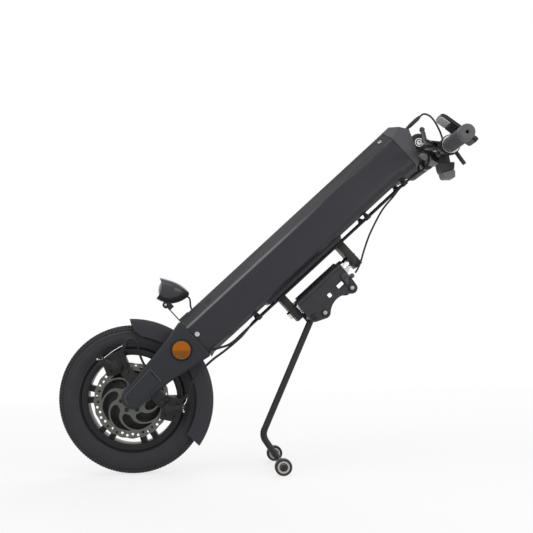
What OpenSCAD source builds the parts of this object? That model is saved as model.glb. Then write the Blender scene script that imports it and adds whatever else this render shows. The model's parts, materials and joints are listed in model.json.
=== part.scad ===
// Front-wheel power drive for a wheelchair: hub-motor wheel in a covered fork under a long battery body,
// short folding handlebar with brakes and throttle, steering dock under the body, folding stand on casters.
// Millimetres. +Z up, wheel at -X, rider at +X, rider's left at -Y. Origin on the floor under the middle.

/* [Wheel] */
// Outside diameter of the tyre
tyre_d = 318; // [300:1:330]
// Width of the tyre
tyre_w = 58; // [54:1:62]
// Bead seat diameter of the rim
rim_d = 203; // [198:1:208]
// Width of the rim over its flanges
rim_w = 46; // [42:1:48]
// Diameter of the hub motor shell
hub_d = 140; // [134:1:146]
// Width of the hub motor shell
hub_w = 56; // [52:1:58]
// Diameter of the brake rotor
rotor_d = 160; // [154:1:164]
// Thickness of the brake rotor
rotor_t = 2.2; // [1.8:0.1:2.6]
// Diameter of the axle inside the bearings
axle_d = 15; // [14:0.5:16]

/* [Fork] */
// Gap between the two fork legs
fork_gap = 108; // [106:1:112]
// Thickness of a fork leg
leg_t = 6; // [5:0.5:8]
// Width of a fork leg
leg_w = 32; // [28:1:36]
// How far a fork cover stands out from its leg
cover_depth = 10; // [9:0.5:14]
// Wall of a fork cover
cover_wall = 2.5; // [2:0.5:3]
// Diameter of a reflector
reflector_d = 39; // [34:1:42]

/* [Mudguard] */
// Outside radius of the mudguard
guard_r = 172; // [170:1:173]
// Width of the mudguard
guard_w = 80; // [76:1:84]
// Wall of the mudguard
guard_t = 2; // [1.5:0.5:3]
// Depth of the mudguard's side skirts
guard_skirt = 38; // [32:1:42]

/* [Body] */
// Tilt of the battery body from level
body_tilt = 40.7; // [38:0.1:43]
// Distance from the axle to the lower end of the body
body_start = 186; // [184:1:190]
// Length of the body shell
body_len = 582; // [560:1:600]
// Width of the body
body_w = 120; // [116:1:124]
// Height of the body's top face above its axis
body_up = 56; // [52:1:60]
// Depth of the body's bottom face below its axis
body_down = 50; // [47:1:53]
// Wall of the body shell
body_wall = 3; // [2:0.5:4]

/* [Handlebar] */
// Distance from the stem's pivot to the handlebar
stem_len = 53; // [50:1:58]
// Angle of the stem from the line of the body
stem_angle = -60; // [-64:1:-56]
// Diameter of the handlebar tube
bar_d = 22.2; // [21:0.1:23]
// Half the length over the grips
bar_half = 205; // [198:1:215]
// Diameter of a grip
grip_d = 31.6; // [30:0.2:33]
// Wall of the handlebar tube
bar_wall = 2; // [1.5:0.5:2.5]

/* [Dock] */
// Distance of the kingpin below the body's axis
kingpin_drop = 97; // [95:1:100]
// Diameter of the kingpin
kingpin_d = 10; // [9:0.5:11]
// Gap between the two arms of the bracket
arm_gap = 151; // [149:1:155]
// Thickness of a bracket arm
arm_t = 16.5; // [14:0.5:18]
// Width over the dock's side plates
dock_w = 80; // [76:1:84]
// Thickness of a dock side plate
plate_t = 4; // [3:0.5:5]
// Diameter of the dock's cross bolts
cross_bolt_d = 8; // [7:0.5:9]

/* [Stand] */
// Diameter of the stand's bent bar
stand_d = 14; // [12:0.5:16]
// Diameter of a caster
caster_d = 35.4; // [34:0.2:37]
// Width of a caster
caster_w = 16; // [14:1:18]
// Distance between the casters' middles
caster_track = 200; // [190:1:210]

/* [Hidden] */
$fn = 48;

// Clearances, the overrun of a cut, and the deeper overrun of a cut through two pieces
fit = 0.05;
gap = 0.3;
over = 1;
deep = 2;

// Wheel
tyre_r = tyre_d / 2;
tyre_wall = 6;
bead_t = 6;
seat_r = rim_d / 2;
rim_t = 6.5;
rim_in_r = seat_r - rim_t;
flange_h = 6.5;
flange_t = 3;
bead_out = rim_w / 2 - flange_t - gap;
tyre_low_r = seat_r + flange_h - tyre_wall / 2;
tyre_mid_r = (tyre_low_r + tyre_r) / 2;
tyre_deep = (tyre_r - tyre_low_r) / 2;
bead_top_r = tyre_mid_r - tyre_deep * sqrt(1 - pow(2 * bead_out / tyre_w, 2)) + tyre_wall / 2;
hub_r = hub_d / 2;
hub_half = hub_w / 2;
hub_wall = 6;
hub_in_r = hub_r - hub_wall;
hub_side_t = 4;
spoke_pairs = 6;
spoke_w = 24;
spoke_t = 13;
spoke_spread = 8;
rim_turn = 9;
bearing_r = 17.5;
bearing_w = 11;
bearing_lip = 9;
boss_r = 29;
axle_r = axle_d / 2;
axle_end_r = 6;
leg_in = fork_gap / 2;
leg_out = leg_in + leg_t;
rotor_gap = 5.8;
rotor_out = leg_in - rotor_gap;
rotor_in = rotor_out - rotor_t;
rotor_r = rotor_d / 2;
rotor_band_w = 17;
rotor_bore_r = 17;
rotor_arms = 8;
rotor_arm_w = 8;
rotor_arm_sweep = 45;
rotor_turn = 4;
rotor_holes = 40;
rotor_hole_r = 2.8;
rotor_hole_sides = 10;
rotor_zigzag = 1.5;
rotor_bolt_count = 6;
rotor_bolt_circle = 22;
rotor_bolt_r = 2.5;
rotor_head_r = 4.5;
rotor_head_t = 2.6;
rotor_bolt_len = 12;
magnet_t = 6;
magnet_w = 32;
air_gap = 1;
stator_r = hub_in_r - magnet_t - air_gap;
stator_w = 30;
stator_teeth = 18;
slot_w = 6;
slot_h = 20;
nut_af_r = 10;
nut_t = 7;

// Fork: outline of the leg and of its cover, along the body and across it
fork_top = body_start;
ear_r = 12;
ear_front = [34, 52];
ear_rear = [46, -46];
cover_lap = 2;
cover_top = body_start + cover_lap;
cover_up = 53;
cover_down = 42;
cover_waist_up = [84, 35.5];
cover_waist_down = [86, -25];
cover_end_at = [7, 2];
cover_end_r = 23;
cover_lip = 2;
cover_out = leg_out + cover_depth;
reflector_at = [149, 7];
reflector_t = 5;
cable_notch_u = 72;
cable_notch_r = 3.5;
cable_notch_y = 4;
cable_slot_w = -34;
cable_slot_h = 14;
crown_t = 10;
crown_up = 44;
crown_down = 40;
crown_plug = 30;
crown_bolt_w = 12;
bolt_r = 3;
bolt_head_r = 5;
bolt_head_t = 4;
bolt_len = 18;
body_bolt_in = 9;
body_bolt_u = body_start + body_bolt_in;
body_bolt_w = 9;

// Mudguard
guard_front = 49;
guard_rear = -77;
guard_boss_r = 10;

// Calipers: polar places from the body's line, and the block's reach round the rotor's rim
caliper_front_angle = 70.3;
caliper_rear_angle = -54;
caliper_in = 14;
caliper_outw = 24;
caliper_half = 25;
caliper_inner = 30;
caliper_slot = 3;
caliper_piston_r = 12;
caliper_piston_t = 12;
caliper_lug_t = 3.4;
caliper_lug_half = 15;
lever_boss_r = 8;
arm_len = 30;
front_arm_turn = 39;
rear_arm_turn = 21;
stop_from = 14;
stop_out = 33;
stop_side = 35;
stop_r = 5;
stop_reach = 20;
stop_web = 8;
arm_w = 9;
arm_plate_t = 4;
arm_pin_r = 3;

// Body section
body_half = body_w / 2;
body_end = body_start + body_len;
ridge_up = 34;
ridge_down = 39;
top_half = 34;
bottom_half = 40;
battery_half = 36;
battery_up = 44;
battery_lift = body_down - body_wall - gap;
battery_lead = 14;
battery_start = body_start + crown_plug + battery_lead;
pack_gap = 12;
controller_len = 70;
cap_plug = 24;
end_gap = 22;
battery_len = body_len - crown_plug - battery_lead - pack_gap - controller_len - cap_plug - end_gap;
controller_up = 10;

// Cord saddles under the body
clip_from = [130, 440, 545];
clip_half = 5;
clip_w = 14;
clip_y = 34;
clip_t = 8;
clip_bore = 4;

// Top cap and its clevis
cap_crest = 19;
cap_nose = 44;
cap_nose_up = 24;
cap_nose_half = 46;
cap_low = 30;
pivot_out = 39;
pivot_u = body_end + pivot_out;
pivot_w = -11;
lug_r = 20;
lug_in = 30;
lug_t = 15;
pivot_r = 6;
pivot_head_r = 9.5;
pivot_head_t = 7;
socket_r = 5;
socket_depth = 5;

// Handlebar: place of its axis along the body and across it
bar_u = pivot_u + stem_len * cos(stem_angle);
bar_w = pivot_w + stem_len * sin(stem_angle);
bar_r = bar_d / 2;
stem_barrel_half = lug_in - gap;
stem_barrel_r = 19;
stem_half = 22;
clamp_r = 20;
stem_web = 17;
window_len = 9;
window_h = 16;
clamp_split = 0.6;
grip_end_t = 5;
grip_hole_r = 3;
grip_r = grip_d / 2;
pod_in = 44;
pod_lead = 24;
perch_in = pod_in + pod_lead;
perch_w = 18;
perch_lead = 2;
throttle_in = perch_in + perch_w + perch_lead;
throttle_w = 14;
throttle_lead = 3;
grip_in = throttle_in + throttle_w + throttle_lead;
grip_len = bar_half - grip_in;
perch_r = 16;
perch_dir = 172;
perch_len = 44;
perch_t = 16;
perch_slot = 9;
perch_slot_from = 22;
perch_cheek = 2.4;
lever_pivot_d = 36;
lever_pivot_in = 10;
lever_pivot_y = perch_in + lever_pivot_in;
lever_pin_r = 2.5;
lever_t = 8;
lever_eye_r = 7;
lever_knee_d = 58;
lever_reach_d = 86;
lever_knee_in = 36;
lever_knee_y = perch_in + lever_knee_in;
lever_short = 19;
lever_tip_y = bar_half - lever_short;
lever_blade_h = 9;
barrel_r = 4;
barrel_len = 8;
throttle_r = 18;
paddle_lead = 4;
paddle_in = throttle_in + paddle_lead;
paddle_w = 6;
paddle_ring_t = 2.4;
paddle_dir = -56;
paddle_reach = 49;
paddle_t = 4;
paddle_pad_w = 12;
paddle_root = throttle_r + gap + paddle_ring_t / 2;
neck_inset = 2;
holder_inset = 3;
pod_band_w = 20;
pod_band_r = 17;
pod_x = -1;
pod_z = -46;
pod_len = 34;
pod_h = 33;
pod_w = 30;
pod_y = -pod_in - over - pod_w / 2;
button_z = -55;
button_h = 10;
button_w = 14;
button_proud = 2;
button_t = 3.2;
button_seat = 3;
display_x = 23.2;
display_z = 38.3;
display_turn = 37.7;
display_len = 92;
display_wide = 48;
display_t = 9;
display_lead = 32;
display_y = -pod_in - display_lead;
display_arm_t = 8;
glass_t = 1.2;
glass_margin = 4;

// Lamp
lamp_foot_len = 26;
lamp_strip_t = 2.5;
lamp_strip_half = 10;
lamp_ear_t = 2;
lamp_pivot_in = 2;
lamp_pivot_u = body_start + lamp_pivot_in;
lamp_pivot_w = 101;
lamp_eye_r = 7;
lamp_pin_r = 2.5;
lamp_front_x = -7.6;
lamp_front_z = 35;
lamp_dip = 11;
lamp_r = 24;
lamp_len = 62;
lamp_wall = 2;
lamp_tail_share = 0.25;
lamp_bow = 2.2;
visor_len = 9;
visor_span = 130;
lens_t = 3;
lens_recess = 3;
bullet_steps = 10;

// Bracket and dock
arm_from = 203;
arm_low_u = body_start + arm_from;
arm_high_u = arm_low_u + arm_gap;
base_t = 6;
base_half = 25;
base_margin = 6;
arm_half = 20;
arm_below_pin = 20;
arm_lift = body_down + base_t;
arm_drop = kingpin_drop + arm_below_pin;
kingpin_head_r = 9;
kingpin_head_t = 7;
cup_r = 16;
cup_neck_r = 13;
cup_low_t = 13;
cup_high_t = 27;
head_low = arm_low_u + cup_low_t;
head_high = arm_high_u - cup_high_t;
head_r = 20;
head_block_up = 84;
head_block_down = 112;
head_block_inset = 8;
plate_in = dock_w / 2 - plate_t;
plate_top_w = -82;
plate_lead = 3;
plate_tail = 2;
plate_low_u = arm_low_u + plate_lead;
plate_high_u = head_high + plate_tail;
plate_side_w = -122;
cross_w = -140;
cross_from = 34;
cross_pitch = 77;
cross_low_u = arm_low_u + cross_from;
cross_high_u = cross_low_u + cross_pitch;
plate_corner_r = 12;
plate_waist_w = -137;
cross_r = cross_bolt_d / 2;
cross_head_r = 7;
cross_head_t = 4;
spacer_r = 8;
stand_from = 13;
stand_u = arm_low_u + stand_from;
stand_w = -131;
stand_pin_r = 5;
stand_barrel_r = 10;
stand_barrel_half = 20;
window_a_at = [97, -118];
window_a_size = [15, 12];
window_b_at = [66, -118];
window_b_size = [8, 8];
latch_from = 116;
latch_u = arm_low_u + latch_from;
latch_w = -112;
latch_r = 8;
latch_tip = [12, -9];
latch_tip_r = 5;
latch_hook = [-9, -20];
latch_t = 4;
latch_pin_r = 3;

// Stand leg: corner of its bend and the caster axle, along the body and across it
knee = [150, -245];
foot_u = 141;
knee_r = 26;
stand_r = stand_d / 2;
caster_r = caster_d / 2;
caster_axle_r = 4;
caster_end = 4;
caster_hub_r = 11;
caster_dish = 3;
sleeve_r = 6;
caster_near = caster_track / 2 - caster_w / 2 - gap;
caster_far = caster_track / 2 + caster_w / 2 + gap;

// Origin: the floor under the tyre, midway between the tyre's front and the display's rear corner
tilt_c = cos(body_tilt);
tilt_s = sin(body_tilt);
bar_x = bar_u * tilt_c - bar_w * tilt_s;
reach_x = bar_x + display_x + display_len / 2 * cos(display_turn);
axle_x = (tyre_r - reach_x) / 2;
axle_z = tyre_r;
foot = [foot_u, (caster_r - tyre_r - foot_u * tilt_s) / tilt_c];

// Cord routes: along the body, sideways, across the body
brake_cord_r = 2.5;
thin_cord_r = 2;
cord_step = 12;
front_route = [[809, -59, -30], [809, -50, -30], [807, -44, -42], [800, -39, -53], [790, -37, -58],
               [778, -36, -58], [766, -35, -56], [740, -34, -54], [640, -34, -54],
               [500, -34, -54], [360, -34, -54], [280, -36, -54], [235, -50, -53], [208, -64, -42],
               [182, -64, -27], [150, -64, -6],
               [100, -64, 8], [80, -64, 16], [73, -64, 26], [72, -64, 38], [80, -68, 60],
               [92, -73, 82], [88, -75, 96], [78, -75, 97]];
rear_route = [[809, 59, -30], [809, 50, -30], [807, 44, -42], [800, 39, -53], [790, 37, -58],
              [778, 36, -58], [766, 35, -56], [740, 34, -54], [640, 34, -54], [500, 34, -54],
              [360, 34, -54], [326, 34, -54], [311, 34, -54], [302, 33, -54],
              [280, 10, -57], [255, -26, -58], [215, -62, -55], [180, -78, -51], [140, -82, -52],
              [112, -80, -60], [101, -78, -67]];
control_route = [[43.6, 0, 27], [52, 0, 28.5], [74, 0, 28.5], [96, 0, 28.5], [108, -4, 24],
                 [112, -14, 10], [106, -28, -8], [93, -42, -26], [78, -53, -41]];
release_route = [[770, -24.7, -54], [745, -24.7, -54], [718, -24.7, -55], [700, -24.5, -58], [660, -24, -64],
                 [610, -25, -82], [575, -26, -100], [555, -27, -112], [538, -33, -119], [528, -39, -121]];
sleeve_at = [52, 0, 28.5];
sleeve_len = 44;
sleeve_out_r = 4.5;
lamp_route = [[243.8, 0, 83.4], [246.2, 0, 80.4], [250, 0, 74], [249, 0, 66], [243, 0, 60.5], [236, 0, 58.5]];

// Helpers

// Places children at the wheel's axle
module at_axle() translate([axle_x, 0, axle_z]) children();

// Places children in the body's own frame: x along the body, z across it
module at_body() at_axle() rotate([0, -body_tilt, 0]) children();

// Places children at the handlebar's axis, level with the floor
module at_bar() at_body() translate([bar_u, 0, bar_w]) rotate([0, body_tilt, 0]) children();

// Places children at the lamp's pivot, level with the floor
module at_lamp() at_body() translate([lamp_pivot_u, 0, lamp_pivot_w]) rotate([0, body_tilt, 0]) children();

// Draws children on both sides of the middle plane
module both() {
    children();
    mirror([0, 1, 0]) children();
}

// Flat shape across the machine, from one sideways place to another
module slab(from, to) translate([0, to, 0]) rotate([90, 0, 0]) linear_extrude(to - from) children();

// Round bar across the machine
module rod(r, from, to) slab(from, to) circle(r);

// Round bar along the body
module rail(r, from, to) translate([from, 0, 0]) rotate([0, 90, 0]) cylinder(r = r, h = to - from);

// Ring turned about the crosswise axis, its outline as radius and sideways place
module spin() rotate([-90, 0, 0]) rotate_extrude() children();

// Rectangle between two radii and two sideways places
module band(r0, r1, y0, y1) translate([r0, y0]) square([r1 - r0, y1 - y0]);

// Places children at a distance and angle from the axle, in the body's frame
module polar(r, a) rotate([0, -a, 0]) translate([r, 0, 0]) children();

// Hexagon prism across the machine
module hex(r, from, to) slab(from, to) circle(r, $fn = 6);

// Points of the body's eight-sided section, inset by a wall, as across and sideways
function section(t) = [[body_up - t, -top_half + t / 2], [body_up - t, top_half - t / 2],
                       [ridge_up - t / 2, body_half - t], [-ridge_down + t / 2, body_half - t],
                       [-body_down + t, bottom_half - t / 2], [-body_down + t, -bottom_half + t / 2],
                       [-ridge_down + t / 2, -body_half + t], [ridge_up - t / 2, -body_half + t]];

// Body section drawn out along the body
module body_bar(t, from, to) translate([from, 0, 0]) rotate([0, 90, 0]) rotate([0, 0, 180])
    linear_extrude(to - from) polygon([for (p = section(t)) [p[0], -p[1]]]);

// Cords: a smooth curve through the route's points, swept with a round section
function unit(v) = v / norm(v);
function curve(a, b, c, d, t) = 0.5 * (2 * b + (c - a) * t + (2 * a - 5 * b + 4 * c - d) * t * t
                                       + (3 * b - a - 3 * c + d) * t * t * t);
function clamped(list, i) = list[max(0, min(len(list) - 1, i))];
function smooth(route) = concat([for (i = [0:len(route) - 2])
    let (n = max(2, round(norm(route[i + 1] - route[i]) / cord_step)))
    for (k = [0:n - 1]) curve(clamped(route, i - 1), route[i], route[i + 1], clamped(route, i + 2), k / n)],
    [route[len(route) - 1]]);
function along(path, i) = unit(clamped(path, i + 1) - clamped(path, i - 1));
function ring(p, d, r, sides) = let (side = unit(cross(d, abs(d[1]) < 0.9 ? [0, 1, 0] : [0, 0, 1])),
                                     up = cross(side, d))
    [for (k = [0:sides - 1]) p + r * (cos(360 * k / sides) * side + sin(360 * k / sides) * up)];

module cord(route, r, sides = 8) {
    path = smooth(route);
    n = len(path);
    points = [for (i = [0:n - 1]) each ring(path[i], along(path, i), r, sides)];
    walls = [for (i = [0:n - 2], k = [0:sides - 1]) let (m = (k + 1) % sides, j = i * sides) each
        [[j + k, j + m, j + sides + m], [j + k, j + sides + m, j + sides + k]]];
    ends = [[for (k = [0:sides - 1]) sides - 1 - k], [for (k = [0:sides - 1]) (n - 1) * sides + k]];
    polyhedron(points, concat(walls, ends));
}

// Wheel

// Egg-shaped section of the tyre, inset by a wall
module carcass(t) translate([tyre_mid_r, 0]) scale([tyre_deep - t, tyre_w / 2 - t]) circle(1);

module tyre() color("#1b1b1d") at_axle() {
    spin() difference() {
        carcass(0);
        carcass(tyre_wall);
        band(0, seat_r + flange_h + gap, -tyre_w, tyre_w);
    }
    both() spin() band(seat_r + gap, bead_top_r, bead_out - bead_t, bead_out);
}

module rim() color("#2a2b2e") at_axle() {
    spin() {
        band(rim_in_r, seat_r, -rim_w / 2, rim_w / 2);
        for (s = [0, 1]) mirror([0, s])
            band(seat_r - over, seat_r + flange_h, rim_w / 2 - flange_t, rim_w / 2);
        band(hub_in_r, hub_r, -hub_half, hub_half);
        band(bearing_r, hub_in_r + over, hub_half - hub_side_t, hub_half);
        band(bearing_r, bearing_r + hub_wall, hub_half - bearing_w, hub_half);
    }
    for (i = [0:spoke_pairs - 1], s = [-1, 1])
        rotate([0, rim_turn + 360 / spoke_pairs * i + s * spoke_spread, 0])
            translate([hub_r - over, -spoke_w / 2, -spoke_t / 2])
                cube([rim_in_r - hub_r + deep, spoke_w, spoke_t]);
}

module rotor_bolt_places() for (i = [0:rotor_bolt_count - 1]) rotate([0, 360 / rotor_bolt_count * i, 0])
    translate([rotor_bolt_circle, 0, 0]) children();

module hub_cover() color("#232427") at_axle() difference() {
    spin() {
        band(bearing_r, hub_in_r - fit, -hub_half, -hub_half + hub_side_t);
        band(bearing_r, bearing_r + hub_wall, -hub_half, -hub_half + bearing_w);
        band(bearing_lip, boss_r, -rotor_in, -hub_half);
    }
    rotor_bolt_places() rod(rotor_bolt_r + fit, -rotor_in - over, -rotor_in + rotor_bolt_len);
}

module magnet_ring() color("#8a8c90") at_axle() spin()
    band(hub_in_r - magnet_t, hub_in_r - fit, -magnet_w / 2, magnet_w / 2);

// One curved arm of the rotor, from its hub ring to its brake band
module rotor_arm() {
    steps = 8;
    r0 = boss_r - over;
    r1 = rotor_r - rotor_band_w + over;
    edge = function (w) [for (i = [0:steps])
        let (t = i / steps, r = r0 + (r1 - r0) * t, a = rotor_arm_sweep * t * t)
        [r * cos(a) - w * sin(a), r * sin(a) + w * cos(a)]];
    far = edge(-rotor_arm_w / 2);
    polygon(concat(edge(rotor_arm_w / 2), [for (i = [steps:-1:0]) far[i]]));
}

module brake_rotor() color("#a9abac") at_axle() difference() {
    union() {
        slab(-rotor_out, -rotor_in) difference() {
            circle(boss_r);
            circle(rotor_bore_r);
        }
        for (i = [0:rotor_arms - 1]) slab(-rotor_out, -rotor_in)
            rotate(rotor_turn + 360 / rotor_arms * i) rotor_arm();
        slab(-rotor_out, -rotor_in) difference() {
            circle(rotor_r);
            circle(rotor_r - rotor_band_w);
        }
    }
    rotor_bolt_places() rod(rotor_bolt_r + fit, -rotor_out - over, -rotor_in + over);
    for (i = [0:rotor_holes - 1])
        polar(rotor_r - rotor_band_w / 2 + rotor_zigzag * (i % 2 == 0 ? 1 : -1), 360 / rotor_holes * i)
            slab(-rotor_out - over, -rotor_in + over) circle(rotor_hole_r, $fn = rotor_hole_sides);
}

module rotor_bolts() color("#4a4a4c") at_axle() rotor_bolt_places() difference() {
    union() {
        rod(rotor_bolt_r, -rotor_out, -rotor_in + rotor_bolt_len - over);
        rod(rotor_head_r, -rotor_out - rotor_head_t, -rotor_out);
    }
    hex(rotor_bolt_r, -rotor_out - rotor_head_t - over, -rotor_out - over);
}

module wheel_bearings() color("#c9cacb") at_axle() both() spin()
    band(axle_r + fit, bearing_r - fit, hub_half - bearing_w, hub_half);

module axle() color("#8f9194") at_axle() {
    rod(axle_r, -leg_in, leg_in);
    rod(axle_end_r, -leg_out - nut_t, leg_out + nut_t);
}

module stator() color("#b06a35") at_axle() slab(-stator_w / 2, stator_w / 2) difference() {
    circle(stator_r);
    circle(axle_r + fit);
    for (i = [0:stator_teeth - 1]) rotate(360 / stator_teeth * i)
        translate([stator_r - slot_h, -slot_w / 2]) square([slot_h + over, slot_w]);
}

module axle_nuts() color("#b9bbbd") at_axle() both() difference() {
    hex(nut_af_r, leg_out, leg_out + nut_t);
    rod(axle_end_r + fit, leg_out - over, leg_out + nut_t + over);
}

// Fork

module leg_holes() {
    rod(axle_end_r + fit, -leg_out - over, leg_out + over);
    crown_bolt_places() rod(bolt_r + fit, leg_in - over, leg_out + over);
}

module leg_bar() {
    rod(leg_w / 2, leg_in, leg_out);
    slab(leg_in, leg_out) translate([0, -leg_w / 2]) square([fork_top, leg_w]);
}

// Ear that carries a caliper, from the leg's middle line to its bolt boss
module ear(at) {
    translate([at[0], 0, at[1]]) rod(ear_r, leg_in, leg_out);
    slab(leg_in, leg_out) translate([at[0] - ear_r, min(0, at[1])]) square([2 * ear_r, abs(at[1])]);
}

module fork_leg_left() color("#2b2c2f") at_body() difference() {
    mirror([0, 1, 0]) {
        leg_bar();
        ear(ear_front);
        ear(ear_rear);
    }
    leg_holes();
    ear_bolt_places() rod(bolt_r + fit, -leg_out - over, -leg_in + over);
}

module fork_leg_right() color("#2b2c2f") at_body() difference() {
    leg_bar();
    leg_holes();
}

module cover_outline(t) polygon(concat(
    [[cover_waist_up[0], cover_waist_up[1] - t], [cover_top - t, cover_up - t],
     [cover_top - t, -cover_down + t], [cover_waist_down[0], cover_waist_down[1] + t]],
    [for (a = [-90:-10:-270]) cover_end_at + (cover_end_r - t) * [cos(a), sin(a)]]));

module fork_cover() difference() {
    slab(leg_out + cover_lip, cover_out) cover_outline(0);
    slab(leg_out, cover_out - cover_wall) cover_outline(cover_wall);
    translate([cable_notch_u, leg_out + cable_notch_y, 0]) cylinder(r = cable_notch_r, h = cover_up);
    slab(leg_out, cover_out - cover_wall) translate([body_start - crown_t, cable_slot_w])
        square([crown_t + cover_lap + over, cable_slot_h]);
    crown_bolt_places() rod(bolt_head_r + gap, leg_out, leg_out + bolt_head_t + gap);
}

module fork_cover_left() color("#2e2f33") at_body() mirror([0, 1, 0]) fork_cover();

module fork_cover_right() color("#2e2f33") at_body() fork_cover();

module reflectors() color("#d9820f") at_body() both()
    translate([reflector_at[0], 0, reflector_at[1]]) rod(reflector_d / 2, cover_out, cover_out + reflector_t);

module fork_crown() color("#26272a") at_body() difference() {
    union() {
        slab(-leg_in, leg_in) translate([body_start - crown_t, -crown_down])
            square([crown_t, crown_up + crown_down]);
        body_bar(body_wall + gap, body_start, body_start + crown_plug);
        rail(guard_boss_r, body_start - 2 * crown_t, body_start);
    }
    rod(guard_r, -guard_w, guard_w);
    crown_bolt_places() rod(bolt_r + fit, leg_out - bolt_len, leg_out + over);
    body_bolt_places() rod(bolt_r + fit, body_half - bolt_len, body_half + over);
}

module crown_bolt_places() both() for (s = [-1, 1])
    translate([body_start - crown_t / 2, 0, s * crown_bolt_w]) children();

module body_bolt_places() both() translate([body_bolt_u, 0, body_bolt_w]) children();

module bolt(seat, length) difference() {
    union() {
        rod(bolt_r, seat - length, seat);
        rod(bolt_head_r, seat, seat + bolt_head_t);
    }
    hex(bolt_r, seat + bolt_head_t / 2, seat + bolt_head_t + over);
}

module ear_bolt_places() for (at = [ear_front, ear_rear]) translate([at[0], 0, at[1]]) children();

module frame_bolts() color("#c4c6c8") {
    at_body() {
        crown_bolt_places() bolt(leg_out, bolt_len - over);
        body_bolt_places() bolt(body_half, bolt_len - over);
        ear_bolt_places() mirror([0, 1, 0]) bolt(leg_out, leg_t + caliper_lug_t);
    }
    at_lamp() rod(lamp_pin_r, -lamp_strip_half - lamp_ear_t, lamp_strip_half + lamp_ear_t);
}

module mudguard() color("#2c2d31") at_body() rotate([90, 0, 0]) rotate([0, 0, guard_rear])
    rotate_extrude(angle = guard_front - guard_rear) difference() {
        band(guard_r - guard_skirt, guard_r, -guard_w / 2, guard_w / 2);
        band(0, guard_r - guard_t, -guard_w / 2 + guard_t, guard_w / 2 - guard_t);
    }

// Brakes

// Caliper round the rotor's rim, with its lug on the leg's ear and its cable stop to one side
module caliper(a, ear_at, side) difference() {
    union() {
        polar(rotor_r, a) {
            translate([-caliper_in, -leg_out - over, -caliper_half])
                cube([caliper_in + caliper_outw, leg_out + over - caliper_inner, 2 * caliper_half]);
            rod(caliper_piston_r, -leg_out - caliper_piston_t, -leg_out);
            slab(-leg_out - over, -leg_out + stop_web) polygon([[stop_from, side * caliper_half / 2],
                [caliper_outw, side * caliper_half / 2], [stop_out, side * stop_side],
                [stop_out - stop_r, side * stop_side]]);
            translate([stop_out, 0, side * stop_side]) rod(stop_r, -leg_out - stop_reach, -leg_out + stop_web);
        }
        slab(-leg_in, -leg_in + caliper_lug_t) {
            translate(ear_at) circle(ear_r);
            rotate(a) translate([norm(ear_at), -caliper_lug_half])
                square([rotor_r - caliper_in - norm(ear_at) + over, 2 * caliper_lug_half]);
        }
    }
    slab(-rotor_out - caliper_slot, -rotor_in + caliper_slot) circle(rotor_r + caliper_slot);
    slab(-leg_out - deep, -leg_in) translate(ear_at) circle(ear_r + gap);
    slab(-leg_out - deep, -leg_in) translate([ear_at[0] - ear_r - gap, min(0, ear_at[1])])
        square([2 * (ear_r + gap), abs(ear_at[1])]);
    translate([ear_at[0], 0, ear_at[1]]) rod(bolt_r + fit, -leg_out, 0);
    polar(rotor_r, a) rod(arm_pin_r + fit, -leg_out - caliper_piston_t - over, -leg_out);
}

module calipers() color("#232427") at_body() {
    caliper(caliper_front_angle, ear_front, -1);
    caliper(caliper_rear_angle, ear_rear, 1);
}

// Cable arm of a caliper: a flat lever on a pin that sits in the caliper's face
module caliper_arm(a, turn) polar(rotor_r, a) {
    face = leg_out + caliper_piston_t;
    rod(arm_pin_r, -face - arm_plate_t, -leg_out - deep);
    rotate([0, -turn, 0]) slab(-face - gap - arm_plate_t, -face - gap) {
        circle(lever_boss_r);
        translate([0, -arm_w / 2]) square([arm_len, arm_w]);
        translate([arm_len, 0]) circle(arm_w / 2);
    }
}

module caliper_arm_front() color("#9fa1a3") at_body() caliper_arm(caliper_front_angle, front_arm_turn);

module caliper_arm_rear() color("#9fa1a3") at_body() caliper_arm(caliper_rear_angle, rear_arm_turn);

// Body

module body_shell() color("#2b2c30") at_body() difference() {
    body_bar(0, body_start, body_end);
    body_bar(body_wall, body_start - over, body_end + over);
    body_bolt_places() rod(bolt_r + fit, body_half - bolt_len, body_half + over);
}

module lug_outline() {
    translate([pivot_u, pivot_w]) circle(lug_r);
    polygon([[body_end, pivot_w + lug_r], [pivot_u, pivot_w + lug_r], [pivot_u, pivot_w - lug_r],
             [body_end, pivot_w - lug_r]]);
}

module top_cap() color("#303135") at_body() difference() {
    union() {
        intersection() {
            slab(-body_half, body_half) polygon([[body_end, body_up], [body_end + cap_crest, body_up],
                [body_end + cap_nose, cap_nose_up], [body_end + cap_crest, -cap_low], [body_end, -body_down]]);
            body_bar(0, body_end, body_end + cap_nose);
            translate([0, 0, -body_down - over]) linear_extrude(body_down + body_up + deep)
                polygon([[body_end - over, -body_half - over], [body_end + over, -body_half - over],
                         [body_end + cap_nose + over, -cap_nose_half],
                         [body_end + cap_nose + over, cap_nose_half],
                         [body_end + over, body_half + over], [body_end - over, body_half + over]]);
        }
        body_bar(body_wall + gap, body_end - cap_plug, body_end + over);
        both() slab(lug_in, lug_in + lug_t) lug_outline();
    }
    slab(-lug_in, lug_in) translate([pivot_u, pivot_w]) circle(stem_barrel_r + over);
    slab(-lug_in, lug_in) translate([pivot_u, pivot_w - body_up])
        square([cap_nose, body_up + stem_barrel_r + over]);
    translate([pivot_u, 0, pivot_w]) rod(pivot_r + fit, -body_half, body_half);
}

module battery_pack() color("#3a5f8a") at_body() slab(-battery_half, battery_half)
    translate([battery_start, -battery_lift]) square([battery_len, battery_up + battery_lift]);

module controller() color("#9a9ca0") at_body() slab(-battery_half, battery_half)
    translate([battery_start + battery_len + pack_gap, -battery_lift])
        square([controller_len, controller_up + battery_lift]);

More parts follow.
